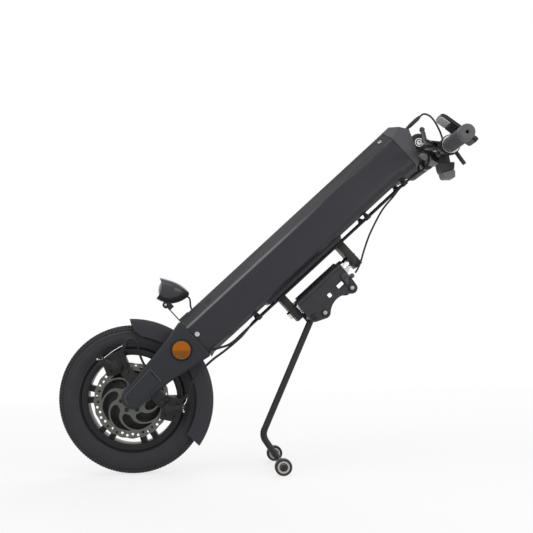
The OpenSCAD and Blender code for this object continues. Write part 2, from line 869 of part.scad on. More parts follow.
// Saddle that holds a brake cord under the body
module cable_clips() color("#18181a") at_body() for (from = clip_from) both()
    translate([body_start + from - clip_half, clip_y - clip_w / 2, -body_down - clip_t]) difference() {
        cube([2 * clip_half, clip_w, clip_t]);
        translate([0, clip_w / 2, clip_t - clip_bore]) rail(brake_cord_r + gap, -over, 2 * clip_half + over);
    }

// Lamp

module lamp_bracket() color("#6f7276") at_body() {
    translate([body_start, -lamp_strip_half, body_up]) {
        cube([lamp_foot_len, 2 * lamp_strip_half, lamp_strip_t]);
        cube([lamp_strip_t, 2 * lamp_strip_half, lamp_pivot_w - body_up - lamp_eye_r - over]);
    }
    both() difference() {
        slab(lamp_strip_half - lamp_ear_t, lamp_strip_half) {
            translate([lamp_pivot_u, lamp_pivot_w]) circle(lamp_eye_r);
            translate([body_start, lamp_pivot_w - 2 * lamp_eye_r])
                square([2 * lamp_eye_r - over, 2 * lamp_eye_r]);
        }
        translate([lamp_pivot_u, 0, lamp_pivot_w]) rod(lamp_pin_r + fit, 0, 2 * lamp_strip_half);
    }
}

// Places children at the lamp's front, x towards its tail
module in_lamp() at_lamp() translate([lamp_front_x, 0, lamp_front_z]) rotate([0, lamp_dip, 0]) children();

// Bullet outline: radius against distance from the front, inset by a wall
function bullet(t) = [for (i = [0:bullet_steps]) let (s = i / bullet_steps)
    [max(lamp_r * lamp_tail_share, lamp_r * pow(1 - pow(s, lamp_bow), 1 / lamp_bow)) - t, (lamp_len - t) * s]];

module bullet_solid(t, lead) rotate([0, 90, 0]) rotate_extrude()
    polygon(concat([[0, -lead], [lamp_r - t, -lead]], bullet(t), [[0, lamp_len - t]]));

module lamp_shell() color("#26272b") difference() {
    union() {
        in_lamp() {
            bullet_solid(0, over);
            rotate([0, 90, 0]) rotate([0, 0, 180 - visor_span / 2]) translate([0, 0, -visor_len])
                rotate_extrude(angle = visor_span)
                    band(lamp_r - lamp_wall / 2, lamp_r + lamp_wall / 2, 0, visor_len + over);
        }
        at_lamp() slab(-lamp_strip_half + lamp_ear_t + gap, lamp_strip_half - lamp_ear_t - gap) {
            circle(lamp_eye_r);
            polygon([[-lamp_eye_r, 0], [lamp_eye_r, 0], [2 * lamp_eye_r, lamp_front_z / 2],
                     [0, lamp_front_z / 2]]);
        }
    }
    in_lamp() bullet_solid(lamp_wall, deep);
    at_lamp() rod(lamp_pin_r + fit, -lamp_strip_half, lamp_strip_half);
}

module lamp_lens() color("#dfe6ea") in_lamp()
    rail(lamp_r - lamp_wall - gap, lens_recess, lens_recess + lens_t);

module lamp_wire() color("#3a1f1c") at_body() cord(lamp_route, thin_cord_r);

// Bracket and dock

module bracket_base() color("#2a2b2e") at_body()
    translate([arm_low_u - arm_t - base_margin, -base_half, -arm_lift])
        cube([arm_gap + 2 * arm_t + 2 * base_margin, 2 * base_half, base_t]);

module bracket_arms() color("#4b4c49") at_body() difference() {
    for (u = [arm_low_u - arm_t, arm_high_u])
        translate([u, -arm_half, -arm_drop]) cube([arm_t, 2 * arm_half, arm_drop - arm_lift]);
    translate([0, 0, -kingpin_drop]) rail(kingpin_d / 2 + fit, arm_low_u - 2 * arm_t, arm_high_u + 2 * arm_t);
}

module kingpin() color("#c8cacc") at_body() translate([0, 0, -kingpin_drop]) {
    low = arm_low_u - arm_t;
    high = arm_high_u + arm_t;
    rail(kingpin_d / 2, low - kingpin_head_t, high);
    translate([low - kingpin_head_t, 0, 0]) rotate([0, 90, 0])
        cylinder(r = kingpin_head_r, h = kingpin_head_t, $fn = 6);
    rail(kingpin_head_r, high, high + kingpin_head_t / 2);
}

module headset_cups() color("#cfd1d3") at_body() translate([0, 0, -kingpin_drop]) difference() {
    union() {
        rail(cup_neck_r, arm_low_u + gap, head_low);
        rail(cup_r, arm_low_u + cup_low_t / 3, head_low);
        rail(cup_neck_r, head_high, arm_high_u - gap);
        rail(cup_r, head_high, head_high + cup_high_t / 2);
    }
    rail(kingpin_d / 2 + fit, arm_low_u - over, arm_high_u + over);
}

module dock_head() color("#2d2e31") at_body() difference() {
    union() {
        translate([0, 0, -kingpin_drop]) rail(head_r, head_low, head_high);
        slab(-plate_in, plate_in) translate([head_low + head_block_inset, -head_block_down])
            square([head_high - head_low - 2 * head_block_inset, head_block_down - head_block_up]);
    }
    translate([0, 0, -kingpin_drop]) rail(kingpin_d / 2 + fit, head_low - over, head_high + over);
}

module plate_outline() difference() {
    union() {
        polygon([[plate_low_u, plate_top_w], [plate_high_u, plate_top_w], [plate_high_u, plate_side_w],
                 [cross_high_u + plate_corner_r, cross_w], [cross_high_u - plate_corner_r, cross_w],
                 [cross_high_u - 2 * plate_corner_r, plate_waist_w],
                 [cross_low_u + 2 * plate_corner_r, plate_waist_w],
                 [cross_low_u + plate_corner_r, cross_w], [cross_low_u, cross_w - plate_corner_r],
                 [stand_u, stand_w - plate_corner_r], [plate_low_u, stand_w]]);
        for (u = [cross_low_u, cross_high_u]) translate([u, cross_w]) circle(plate_corner_r);
        translate([stand_u, stand_w]) circle(plate_corner_r);
    }
    for (u = [cross_low_u, cross_high_u]) translate([u, cross_w]) circle(cross_r + fit);
    translate([stand_u, stand_w]) circle(stand_pin_r + fit);
    translate([arm_low_u, 0] + window_a_at) square(window_a_size, center = true);
    translate([arm_low_u, 0] + window_b_at) square(window_b_size, center = true);
    translate([latch_u, latch_w]) circle(latch_pin_r + fit);
}

module dock_plates() color("#2f3034") at_body() both() slab(plate_in, plate_in + plate_t) plate_outline();

module dock_bolts() color("#c2c4c6") at_body() {
    side = plate_in + plate_t;
    for (u = [cross_low_u, cross_high_u]) translate([u, 0, cross_w]) {
        rod(cross_r, -side, side);
        rod(spacer_r, -plate_in, plate_in);
        both() rod(cross_head_r, side, side + cross_head_t);
    }
    translate([stand_u, 0, stand_w]) {
        rod(stand_pin_r, -side, side);
        both() rod(cross_head_r, side, side + cross_head_t / 2);
    }
}

module latch_lever() color("#8d8f92") at_body() {
    face = plate_in + plate_t + gap;
    translate([latch_u, 0, latch_w]) {
        rod(latch_pin_r, -face, -plate_in);
        slab(-face - latch_t, -face) {
            circle(latch_r);
            translate(latch_tip) circle(latch_tip_r);
            polygon([[0, latch_r], latch_tip, [0, -latch_r]]);
            polygon([[latch_r, 0], [-latch_r, 0], latch_hook]);
        }
    }
}

module release_cable() color("#151517") at_body() cord(release_route, thin_cord_r);

// Stand

// Bar from the hinge barrel to the caster axle, bent once at the knee
module stand_leg() color("#2b2c2e") at_body() difference() {
    a = [stand_u, stand_w];
    in_dir = unit(knee - a);
    out_dir = unit(foot - knee);
    turn = acos(in_dir * out_dir);
    back = knee_r * tan(turn / 2);
    start_ang = atan2(in_dir[1], in_dir[0]);
    bend_mid = knee - in_dir * back + knee_r * [-in_dir[1], in_dir[0]];
    union() {
        translate([a[0], 0, a[1]]) {
            rod(stand_barrel_r, -stand_barrel_half, stand_barrel_half);
            rotate([0, -start_ang, 0]) rail(stand_r, 0, norm(knee - a) - back + over);
        }
        translate([bend_mid[0], 0, bend_mid[1]]) rotate([90, 0, 0]) rotate([0, 0, start_ang - 90])
            rotate_extrude(angle = turn) translate([knee_r, 0]) circle(stand_r + gap);
        translate([foot[0], 0, foot[1]]) {
            rotate([0, 180 - atan2(out_dir[1], out_dir[0]), 0])
                rail(stand_r, 0, norm(foot - knee) - back + over);
            rod(sleeve_r, -caster_near, caster_near);
            rod(caster_axle_r, -caster_far, caster_far);
            both() rod(sleeve_r, caster_far, caster_far + caster_end);
        }
    }
    translate([a[0], 0, a[1]]) rod(stand_pin_r + fit, -stand_barrel_half - over, stand_barrel_half + over);
}

module caster(y) at_body() translate([foot[0], y, foot[1]]) spin() difference() {
    band(caster_axle_r + fit, caster_r, -caster_w / 2, caster_w / 2);
    for (s = [0, 1]) mirror([0, s])
        band(sleeve_r + over, caster_hub_r, caster_w / 2 - caster_dish, caster_w / 2 + over);
}

module caster_left() color("#1d1d1f") caster(-caster_track / 2);

module caster_right() color("#1d1d1f") caster(caster_track / 2);

// Handlebar

// Places children on the stem's line: x from the pivot to the handlebar
module on_stem() at_body() translate([pivot_u, 0, pivot_w]) rotate([0, -stem_angle, 0]) children();

module stem_body() difference() {
    union() {
        rod(stem_barrel_r, -stem_barrel_half, stem_barrel_half);
        slab(-stem_half, stem_half) {
            translate([0, -stem_web]) square([stem_len, 2 * stem_web]);
            translate([stem_len, 0]) circle(clamp_r);
        }
    }
    rod(pivot_r + fit, -lug_in, lug_in);
    translate([stem_len, 0, 0]) rod(bar_r + fit, -stem_half - over, stem_half + over);
    slab(-stem_half - over, stem_half + over) translate([stem_barrel_r, -window_h / 2])
        square([window_len, window_h]);
}

module stem() color("#2a2b2e") on_stem() difference() {
    stem_body();
    slab(-lug_in, lug_in) translate([stem_len, -clamp_r - over])
        square([clamp_r + over, 2 * (clamp_r + over)]);
}

module bar_clamp() color("#2a2b2e") on_stem() intersection() {
    stem_body();
    slab(-lug_in, lug_in) translate([stem_len + clamp_split, -clamp_r - over])
        square([clamp_r + over, 2 * (clamp_r + over)]);
}

module pivot_bolt() color("#d3d5d6") at_body() translate([pivot_u, 0, pivot_w]) difference() {
    side = lug_in + lug_t;
    union() {
        rod(pivot_r, -side, side);
        rod(pivot_head_r, -side - pivot_head_t, -side);
        hex(pivot_head_r, side, side + pivot_head_t);
    }
    hex(socket_r, -side - pivot_head_t - over, -side - pivot_head_t + socket_depth);
}

module handlebar() color("#202124") at_bar() difference() {
    rod(bar_r, -bar_half + grip_end_t + gap, bar_half - grip_end_t - gap);
    rod(bar_r - bar_wall, -bar_half, bar_half);
}

module grips() color("#2f3032") at_bar() both() difference() {
    rod(grip_r, bar_half - grip_len, bar_half);
    rod(bar_r + fit, bar_half - grip_len - over, bar_half - grip_end_t);
    rod(grip_hole_r, bar_half - 2 * grip_end_t, bar_half + over);
}

// Places children on a lever's plane: x away from the handlebar, z square to the lever
module on_perch() at_bar() rotate([0, -perch_dir, 0]) children();

module lever_perches() color("#232427") on_perch() both() {
    translate([lever_pivot_d, lever_pivot_y, 0]) cylinder(r = lever_pin_r, h = perch_t - over, center = true);
    difference() {
        perch_solid();
        rod(bar_r + fit, perch_in - over, perch_in + perch_w + over);
        translate([perch_slot_from, perch_in + perch_cheek, -perch_slot / 2])
            cube([perch_len, perch_w, perch_slot]);
    }
}

module perch_solid() {
    rod(perch_r, perch_in, perch_in + perch_w);
    translate([0, perch_in, -perch_t / 2]) cube([perch_len, perch_w, perch_t]);
    translate([lever_pivot_d, 0, 0]) rod(barrel_r, perch_in - barrel_len, perch_in + over);
}

module lever_outline() {
    translate([lever_pivot_d, lever_pivot_y]) circle(lever_eye_r);
    polygon([[lever_pivot_d - lever_eye_r, lever_pivot_y], [lever_pivot_d + lever_eye_r, lever_pivot_y],
             [lever_knee_d, lever_knee_y], [lever_reach_d, lever_tip_y],
             [lever_reach_d - lever_blade_h, lever_tip_y], [lever_knee_d - lever_blade_h, lever_knee_y]]);
    translate([lever_reach_d - lever_blade_h / 2, lever_tip_y]) circle(lever_blade_h / 2);
}

module brake_lever() on_perch() difference() {
    linear_extrude(lever_t, center = true) lever_outline();
    translate([lever_pivot_d, lever_pivot_y, 0]) cylinder(r = lever_pin_r + fit, h = perch_t, center = true);
}

module brake_lever_right() color("#26272a") brake_lever();

module brake_lever_left() color("#26272a") mirror([0, 1, 0]) brake_lever();

module throttle_body() color("#2c2d30") at_bar() difference() {
    rod(throttle_r, -throttle_in - throttle_w, -throttle_in);
    rod(bar_r + fit, -throttle_in - throttle_w - over, -throttle_in + over);
}

module throttle_paddle() color("#1f2022") at_bar() difference() {
    union() {
        rod(throttle_r + gap + paddle_ring_t, -paddle_in - paddle_w, -paddle_in);
        rotate([0, -paddle_dir, 0]) translate([paddle_root, -paddle_in - over - paddle_pad_w, -paddle_t / 2])
            cube([paddle_reach - paddle_root, paddle_pad_w, paddle_t]);
    }
    rod(throttle_r + gap, -throttle_in - throttle_w, -throttle_in);
}

// Housing under the bar with its clamp band and the arm that carries the display
module switch_pod() color("#3b3c40") at_bar() difference() {
    union() {
        rod(pod_band_r, -pod_in - pod_band_w, -pod_in);
        translate([pod_x - pod_len / 2, pod_y - pod_w / 2, pod_z - pod_h / 2]) cube([pod_len, pod_w, pod_h]);
        translate([pod_x - pod_band_r / 2, -pod_in - pod_band_w + neck_inset, pod_z])
            cube([pod_band_r, pod_band_w - 2 * neck_inset, -pod_z]);
        rotate([0, -atan2(display_z, display_x), 0])
            translate([0, -pod_in - pod_band_w + holder_inset, -display_arm_t / 2])
                cube([norm([display_x, display_z]) - display_t / 2, pod_band_w - 2 * holder_inset,
                      display_arm_t]);
    }
    rod(bar_r + fit, -pod_in - pod_w, -pod_in + over);
    translate([pod_x + pod_len / 2 - button_seat, pod_y - button_w / 2 - gap,
               button_z - button_h / 2 - gap])
        cube([button_seat + over, button_w + gap + gap, button_h + gap + gap]);
    in_display() display_block();
}

module switch_button() color("#a3282a") at_bar()
    translate([pod_x + pod_len / 2 + button_proud - button_t, pod_y - button_w / 2,
               button_z - button_h / 2]) cube([button_t, button_w, button_h]);

// Places children at the middle of the display's face, x square to the face
module in_display() translate([display_x, display_y, display_z]) rotate([0, display_turn - 90, 0]) children();

module display_block() translate([-display_t, -display_wide / 2, -display_len / 2])
    cube([display_t, display_wide, display_len]);

module display_window(t, m) translate([-glass_t, -display_wide / 2 + m, -display_len / 2 + m])
    cube([t, display_wide - 2 * m, display_len - 2 * m]);

module display() color("#1d1e20") at_bar() in_display() difference() {
    display_block();
    display_window(glass_t + over, glass_margin - fit);
}

module display_glass() color("#0c0d10") at_bar() in_display() display_window(glass_t, glass_margin);

// Cords

module brake_cables() color("#141416") at_body() {
    cord(front_route, brake_cord_r);
    cord(rear_route, brake_cord_r);
}

module past_body() at_body() translate([body_end, 0, 0]) children();

module control_cable() color("#141416") past_body() cord(control_route, thin_cord_r);

module connector_sleeve() color("#4d4e52") past_body() translate(sleeve_at) difference() {
    rail(sleeve_out_r, 0, sleeve_len);
    rail(thin_cord_r + gap, -over, sleeve_len + over);
}

tyre();
rim();
hub_cover();
magnet_ring();
brake_rotor();
rotor_bolts();
wheel_bearings();
axle();
stator();
axle_nuts();
fork_leg_left();
fork_leg_right();
fork_cover_left();
fork_cover_right();
reflectors();
fork_crown();
frame_bolts();
mudguard();
calipers();
caliper_arm_front();
caliper_arm_rear();
body_shell();
top_cap();
battery_pack();
controller();
cable_clips();
lamp_bracket();
lamp_shell();
lamp_lens();
lamp_wire();
bracket_base();
bracket_arms();
kingpin();
headset_cups();
dock_head();
dock_plates();
dock_bolts();
latch_lever();
release_cable();
stand_leg();
caster_left();
caster_right();
stem();
pivot_bolt();
bar_clamp();
handlebar();
grips();
lever_perches();
brake_lever_left();
brake_lever_right();
throttle_body();
throttle_paddle();
switch_pod();
switch_button();
display();
display_glass();
brake_cables();
control_cable();
connector_sleeve();
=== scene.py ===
"""Looks of the wheelchair power assist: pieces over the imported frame, finishes, light and camera."""
import json
import math

import bmesh
import bpy
from mathutils import Matrix, Vector

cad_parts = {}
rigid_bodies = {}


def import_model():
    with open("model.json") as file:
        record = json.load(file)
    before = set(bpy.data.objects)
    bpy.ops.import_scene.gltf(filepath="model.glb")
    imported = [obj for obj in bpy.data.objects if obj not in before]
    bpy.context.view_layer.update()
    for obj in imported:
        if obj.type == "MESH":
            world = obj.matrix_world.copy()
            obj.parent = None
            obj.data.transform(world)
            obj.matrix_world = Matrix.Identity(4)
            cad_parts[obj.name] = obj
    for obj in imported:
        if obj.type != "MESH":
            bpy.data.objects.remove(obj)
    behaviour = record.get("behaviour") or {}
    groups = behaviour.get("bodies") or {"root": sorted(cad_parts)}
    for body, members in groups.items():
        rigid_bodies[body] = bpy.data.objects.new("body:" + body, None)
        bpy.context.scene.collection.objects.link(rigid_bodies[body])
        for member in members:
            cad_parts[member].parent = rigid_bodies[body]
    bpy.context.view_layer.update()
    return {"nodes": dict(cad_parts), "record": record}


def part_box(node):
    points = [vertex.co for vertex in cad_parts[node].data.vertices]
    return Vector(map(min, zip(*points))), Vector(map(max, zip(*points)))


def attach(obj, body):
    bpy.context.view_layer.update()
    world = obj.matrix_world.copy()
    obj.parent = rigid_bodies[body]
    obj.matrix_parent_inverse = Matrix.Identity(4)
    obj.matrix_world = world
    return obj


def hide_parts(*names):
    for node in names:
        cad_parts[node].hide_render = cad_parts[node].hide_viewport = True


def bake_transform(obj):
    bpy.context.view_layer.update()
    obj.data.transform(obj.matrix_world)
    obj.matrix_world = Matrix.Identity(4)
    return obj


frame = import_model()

nodes = frame["nodes"]
TAU = 2 * math.pi
MM = Matrix.Scale(0.001, 4)
SIDE_TAG = {-1: "left", 1: "right"}


def rotation(degrees, axis="Y"):
    """A turn about one of a frame's own axes."""
    return Matrix.Rotation(math.radians(degrees), 4, axis)


# Places: the axle in the row's frame, and the body's own frame in millimetres: along it, sideways, across it
JOINT = {j["name"]: Vector(j["pos_m"]) for j in frame["record"]["behaviour"]["joints"] if "pos_m" in j}
AXLE = JOINT["wheel_spin"]
TILT = math.radians(40.7)
BODY = Matrix.Translation(AXLE) @ Matrix.Rotation(-TILT, 4, "Y") @ MM
WHEEL = Matrix.Translation(AXLE) @ MM
REFLECTOR = BODY @ Matrix.Translation((149, 0, 7))
DOCK_BOLTS = ((423, -140), (500, -140))
BODY_HALF, RIDGE = 60, 34

# The pivot bolt, the stem that swings on it, the handlebar and the lever perches
PIVOT = BODY @ Matrix.Translation((807, 0, -11))
STEM = PIVOT @ rotation(60)
BAR = Vector((JOINT["throttle_push"].x, 0, JOINT["throttle_push"].z))
LEVEL_BAR = Matrix.Translation(BAR) @ MM
PERCH = LEVEL_BAR @ rotation(-172)
FLAT_PERCH = PERCH @ rotation(-90, "X")
BAR_SLEEVE = 11.3

# The display stands off the bar by an arm, its face turned up and back
DISPLAY_REACH = Vector((23.2, 38.3))
FACE = (LEVEL_BAR @ Matrix.Translation((DISPLAY_REACH.x, -76, DISPLAY_REACH.y)) @ rotation(37.7)
        @ rotation(90, "X"))

# The lamp's mouth, out from the pivot it tilts on
LAMP_PIVOT = JOINT["lamp_tilt"]
LAMP_MOUTH = Vector((-0.0076, 0, 0.035))
LAMP = Matrix.Translation(LAMP_PIVOT + LAMP_MOUTH) @ rotation(11) @ MM


# Finishes

class Value:
    """A shader socket that can stand in sums: each operation adds one Math node."""

    def __init__(self, finish, socket):
        self.finish = finish
        self.socket = socket

    def math(self, operation, a, b=0.0):
        """A Math node on two values or numbers."""
        return self.finish.node("ShaderNodeMath", {"operation": operation}, {0: a, 1: b})

    def __add__(self, other):
        return self.math("ADD", self, other)

    __radd__ = __add__

    def __sub__(self, other):
        return self.math("SUBTRACT", self, other)

    def __rsub__(self, other):
        return self.math("SUBTRACT", other, self)

    def __mul__(self, other):
        return self.math("MULTIPLY", self, other)

    __rmul__ = __mul__

    def sine(self):
        return self.math("SINE", self)

    def size(self):
        return self.math("ABSOLUTE", self)

    def root(self):
        return self.math("SQRT", self)


class Finish:
    """One material: its nodes are added by name, and its shader's sockets are set at the end."""

    made = {}

    def __init__(self, name):
        self.material = bpy.data.materials.new(name)
        self.made[name] = self.material
        self.material.use_nodes = True
        self.tree = self.material.node_tree
        self.shader = self.tree.nodes["Principled BSDF"]

    def node(self, kind, settings=None, inputs=None, output=0):
        """Adds a node: its settings first, then its sockets, and one output as a value."""
        made = self.tree.nodes.new(kind)
        for key, value in (settings or {}).items():
            setattr(made, key, value)
        for key, value in (inputs or {}).items():
            self.feed(self.pick(made.inputs, key), value)
        return Value(self, self.pick(made.outputs, output))

    @staticmethod
    def pick(sockets, key):
        """A socket by its number, its identifier or its name."""
        if isinstance(key, int):
            return sockets[key]
        for socket in sockets:
            if socket.identifier == key or (socket.name == key and socket.enabled):
                return socket
        raise KeyError(key)

    def feed(self, socket, value):
        """Links a value to a socket, or sets the socket to a number, a colour or a vector."""
        if isinstance(value, Value):
            self.tree.links.new(value.socket, socket)
        elif hasattr(socket.default_value, "__len__") and not hasattr(value, "__len__"):
            socket.default_value = (value, value, value, 1)[:len(socket.default_value)]
        elif hasattr(value, "__len__") and len(value) == 3 and len(socket.default_value) == 4:
            socket.default_value = (*value, 1)
        else:
            socket.default_value = value

    def place(self, about=(0, 0, 0), turn=(0, 0, 0)):
        """Object coordinates, moved so that a point is the origin, then turned."""
        coordinates = self.node("ShaderNodeTexCoord", None, None, "Object")
        moved = self.node("ShaderNodeVectorMath", {"operation": "SUBTRACT"}, {0: coordinates, 1: about})
        return self.node("ShaderNodeVectorRotate", {"rotation_type": "EULER_XYZ"},
                         {"Vector": moved, "Rotation": turn})

    def split(self, vector):
        """A vector's three parts."""
        return [self.node("ShaderNodeSeparateXYZ", None, {0: vector}, axis) for axis in "XYZ"]

    def noise(self, scale, detail=2.0, rough=0.5, vector=None):
        """A noise value from 0 to 1."""
        inputs = {"Scale": scale, "Detail": detail, "Roughness": rough, "Vector": vector or self.place()}
        return self.node("ShaderNodeTexNoise", None, inputs)

    def blend(self, factor, a, b):
        """A colour between two."""
        return self.node("ShaderNodeMix", {"data_type": "RGBA"},
                         {"Factor_Float": factor, "A_Color": a, "B_Color": b}, "Result_Color")

    def bump(self, height, distance, strength=1.0):
        """A normal from a height."""
        return self.node("ShaderNodeBump", None, {"Height": height, "Distance": distance,
                                                  "Strength": strength})

    def ramp(self, value, low, high):
        """0 at one end of a range and 1 at the other."""
        return self.node("ShaderNodeMapRange", None, {"Value": value, "From Min": low, "From Max": high})

    def set(self, **sockets):
        """Feeds the shader's sockets and gives back the material."""
        for key, value in sockets.items():
            self.feed(self.shader.inputs[key.replace("_", " ")], value)
        return self.material


DULL_SHEEN = 0.25


def shade(colour, factor):
    """A colour made darker or paler."""
    return tuple(min(1.0, c * factor) for c in colour)


def coated(name, colour, rough, grain=900, depth=0.00005, mottle=0.14, wear=0.16, coat=0.0):
    """Paint, powder coat or moulded plastic: fine grain, a cloud of tone, handling marks in the gloss."""
    f = Finish(name)
    cloud = f.noise(22, 3)
    fine = f.noise(grain, 2)
    rubbed = f.noise(70, 4, 0.65)
    tone = f.blend(cloud, shade(colour, 1 - mottle), shade(colour, 1 + mottle))
    return f.set(Base_Color=tone, Roughness=rough + ((cloud - 0.5) * 0.6 + rubbed - 0.5) * wear,
                 Normal=f.bump(fine, depth), Coat_Weight=coat, Specular_IOR_Level=DULL_SHEEN)


def rubbery(name, colour, rough, grain=500, depth=0.00012, dust=0.25):
    """Rubber: close texture with a dusting of paler bloom."""
    f = Finish(name)
    bloom = f.noise(35, 5, 0.6)
    fine = f.noise(grain, 3)
    tone = f.blend((bloom - 0.35) * (2 * dust), colour, shade(colour, 2.2))
    return f.set(Base_Color=tone, Roughness=rough + (fine - 0.5) * 0.15, Normal=f.bump(fine, depth),
                 Specular_IOR_Level=DULL_SHEEN)


def turned(name, colour, rough, about, lines=2600.0, depth=0.00002):
    """Bright metal turned or ground about a crosswise axis: fine rings, a little tarnish."""
    f = Finish(name)
    x, y, z = f.split(f.place(about=about))
    radius = (x * x + z * z).root()
    ring = f.node("ShaderNodeCombineXYZ", None, {"X": radius * lines, "Y": y * 40.0, "Z": 0.0})
    groove = f.noise(1.0, 2, 0.6, ring)
    tarnish = f.noise(60, 4, 0.6)
    tone = f.blend(tarnish, shade(colour, 0.72), shade(colour, 1.12))
    return f.set(Base_Color=tone, Metallic=1.0,
                 Roughness=rough + (groove - 0.5) * 0.2 + (tarnish - 0.5) * 0.12,
                 Normal=f.bump(groove, depth))


def metal(name, colour, rough, grain=350, depth=0.000006):
    """Plated or bare metal with fine scratches and a slow change of shine."""
    f = Finish(name)
    scratch = f.noise(grain, 5, 0.7)
    cloud = f.noise(40, 3)
    tone = f.blend(cloud, shade(colour, 0.9), shade(colour, 1.06))
    return f.set(Base_Color=tone, Metallic=1.0, Roughness=rough + (scratch - 0.5) * 0.1,
                 Normal=f.bump(scratch, depth))


def plated(name):
    """Bolts: bright zinc along the body, blackened beside the wheel."""
    f = Finish(name)
    x, _, z = f.split(f.place(about=AXLE))
    away = f.ramp((x * x + z * z).root(), 0.12, 0.16)
    worn = f.noise(350, 5, 0.7)
    tone = f.blend(worn, (0.40, 0.40, 0.41), (0.55, 0.55, 0.56))
    return f.set(Base_Color=f.blend(away, (0.035, 0.035, 0.037), tone), Metallic=1.0,
                 Roughness=0.24 + worn * 0.12, Normal=f.bump(worn, 0.00002))


def bolt_ends(name):
    """The dock's bolts: bright in the middle of each cross bolt's end, blackened elsewhere."""
    f = Finish(name)
    u, _, w = f.split(f.place(about=AXLE, turn=(0, TILT, 0)))
    offsets = [(u - along / 1000, w - across / 1000) for along, across in DOCK_BOLTS]
    away = [(du * du + dw * dw).root() for du, dw in offsets]
    middle = f.ramp(away[0].math("MINIMUM", *away), 0.0046, 0.0038)
    worn = f.noise(350, 4, 0.6)
    bright = f.blend(worn, (0.26, 0.26, 0.25), (0.36, 0.36, 0.35))
    return f.set(Base_Color=f.blend(middle, (0.030, 0.030, 0.032), bright), Metallic=1.0,
                 Roughness=0.34 + worn * 0.1)


def ridge_highlight_paint(name, colour, ridge_highlight, rough):
    """The body's paint: a painted highlight as a paler line along the upper ridges' lower end, and painted
    shade on the bevels at the top.
    """
    f = Finish(name)
    cloud = f.noise(22, 3)
    fine = f.noise(1100, 2)
    u, y, w = f.split(f.place(about=AXLE, turn=(0, TILT, 0)))
    ridge_height, half_width = RIDGE / 1000, BODY_HALF / 1000
    # Painted highlight: a paler line along the upper ridges, only towards the lower end
    line = f.ramp((w - ridge_height).size() + (y.size() - half_width).size(), 0.0042, 0.0018)
    lower_end = f.ramp(u, 0.58, 0.43)
    above = f.ramp(w, ridge_height, ridge_height + 0.003)
    painted_shade_upper = f.ramp(u, 0.30, 0.60)
    tone = f.blend(cloud, shade(colour, 0.88), shade(colour, 1.12))
    # Painted shade: the bevels and the top face are darkened towards the upper end
    tone = f.blend(above * painted_shade_upper, tone, shade(colour, 0.35))
    return f.set(Base_Color=f.blend(line * lower_end, tone, ridge_highlight), Roughness=rough + (cloud - 0.5) * 0.10,
                 Normal=f.bump(fine, 0.00004), Coat_Weight=0.08, Specular_IOR_Level=DULL_SHEEN)


# A finish with a slot's name dresses that slot's nodes too, and one that does only that is given no name here
# The body's third colour is the painted highlight along its ridges
body_black = ridge_highlight_paint("body_black", (0.0215, 0.0215, 0.027), (0.160, 0.160, 0.172), 0.42)
coated("cap_black", (0.072, 0.072, 0.080), 0.46, 900, 0.00007)
cover_plastic = coated("cover_plastic", (0.018, 0.019, 0.024), 0.42, 1000, 0.00006, coat=0.06)
guard_plastic = coated("guard_plastic", (0.027, 0.027, 0.033), 0.5, 1000, 0.00006)
# Paler plastic for the covers' bead: a painted highlight along the pad's edge
bead_highlight_plastic = coated("bead_highlight_plastic", (0.085, 0.085, 0.094), 0.42)
coated("fork_black", (0.014, 0.014, 0.016), 0.44)
rim_black = coated("rim_black", (0.005, 0.005, 0.006), 0.48, coat=0.1)
caliper_black = coated("caliper_black", (0.012, 0.012, 0.013), 0.4, 700)
dock_black = coated("dock_black", (0.029, 0.029, 0.033), 0.40)
coated("bracket_black", (0.024, 0.023, 0.020), 0.46)
coated("stand_black", (0.021, 0.020, 0.019), 0.38)
stem_black = coated("stem_black", (0.020, 0.020, 0.022), 0.34, coat=0.1)
coated("bar_black", (0.014, 0.014, 0.015), 0.34)
lever_black = coated("lever_black", (0.032, 0.032, 0.034), 0.36)
throttle_black = coated("throttle_black", (0.024, 0.024, 0.026), 0.50, 700)
pod_plastic = coated("pod_plastic", (0.125, 0.126, 0.136), 0.52, 700, 0.00006)
display_black = coated("display_black", (0.018, 0.018, 0.020), 0.45)
lamp_black = coated("lamp_black", (0.032, 0.032, 0.038), 0.30, 1000, 0.000004, 0.06, 0.02, 0.3)
clip_plastic = coated("clip_plastic", (0.014, 0.014, 0.015), 0.5)
sleeve_grey = coated("sleeve_grey", (0.035, 0.035, 0.038), 0.55)
bolt_mixed = plated("bolt_mixed")
bolt_faces = bolt_ends("bolt_faces")
bolt_dark = metal("bolt_dark", (0.034, 0.034, 0.036), 0.40)
bolt_bright = metal("bolt_bright", (0.360, 0.360, 0.370), 0.30)
metal("latch_steel", (0.06, 0.06, 0.062), 0.36)
metal("arm_steel", (0.110, 0.110, 0.110), 0.30)
metal("bracket_steel", (0.036, 0.030, 0.029), 0.45)
metal("headset_bright", (0.66, 0.66, 0.68), 0.18)
controller_alu = metal("controller_alu", (0.45, 0.45, 0.46), 0.4)
metal("magnet_steel", (0.4, 0.4, 0.42), 0.35)
turned("bearing_steel", (0.55, 0.55, 0.56), 0.22, AXLE)
turned("axle_steel", (0.42, 0.42, 0.43), 0.3, AXLE)
rotor_steel = turned("rotor_steel", (0.120, 0.119, 0.107), 0.42, AXLE, 3000.0, 0.00003)
metal("stator_copper", (0.55, 0.26, 0.12), 0.35)
pack_blue = coated("pack_blue", (0.02, 0.06, 0.18), 0.25)
cord_black = rubbery("cord_black", (0.008, 0.008, 0.009), 0.42, 900, 0.00003, 0.1)
grip_rubber = rubbery("grip_rubber", (0.098, 0.098, 0.106), 0.62, 700, 0.00010, 0.2)
caster_rubber = rubbery("caster_rubber", (0.022, 0.022, 0.024), 0.5)
tyre_rubber = rubbery("tyre_rubber", (0.023, 0.023, 0.026), 0.55, 420, 0.00010, 0.22)
hub_pale = coated("hub_pale", (0.52, 0.50, 0.48), 0.38, 600, 0.00003, 0.06)
display_grey = coated("display_grey", (0.58, 0.58, 0.59), 0.5, 700)
wire_steel = metal("wire_steel", (0.62, 0.62, 0.63), 0.22, 1500)


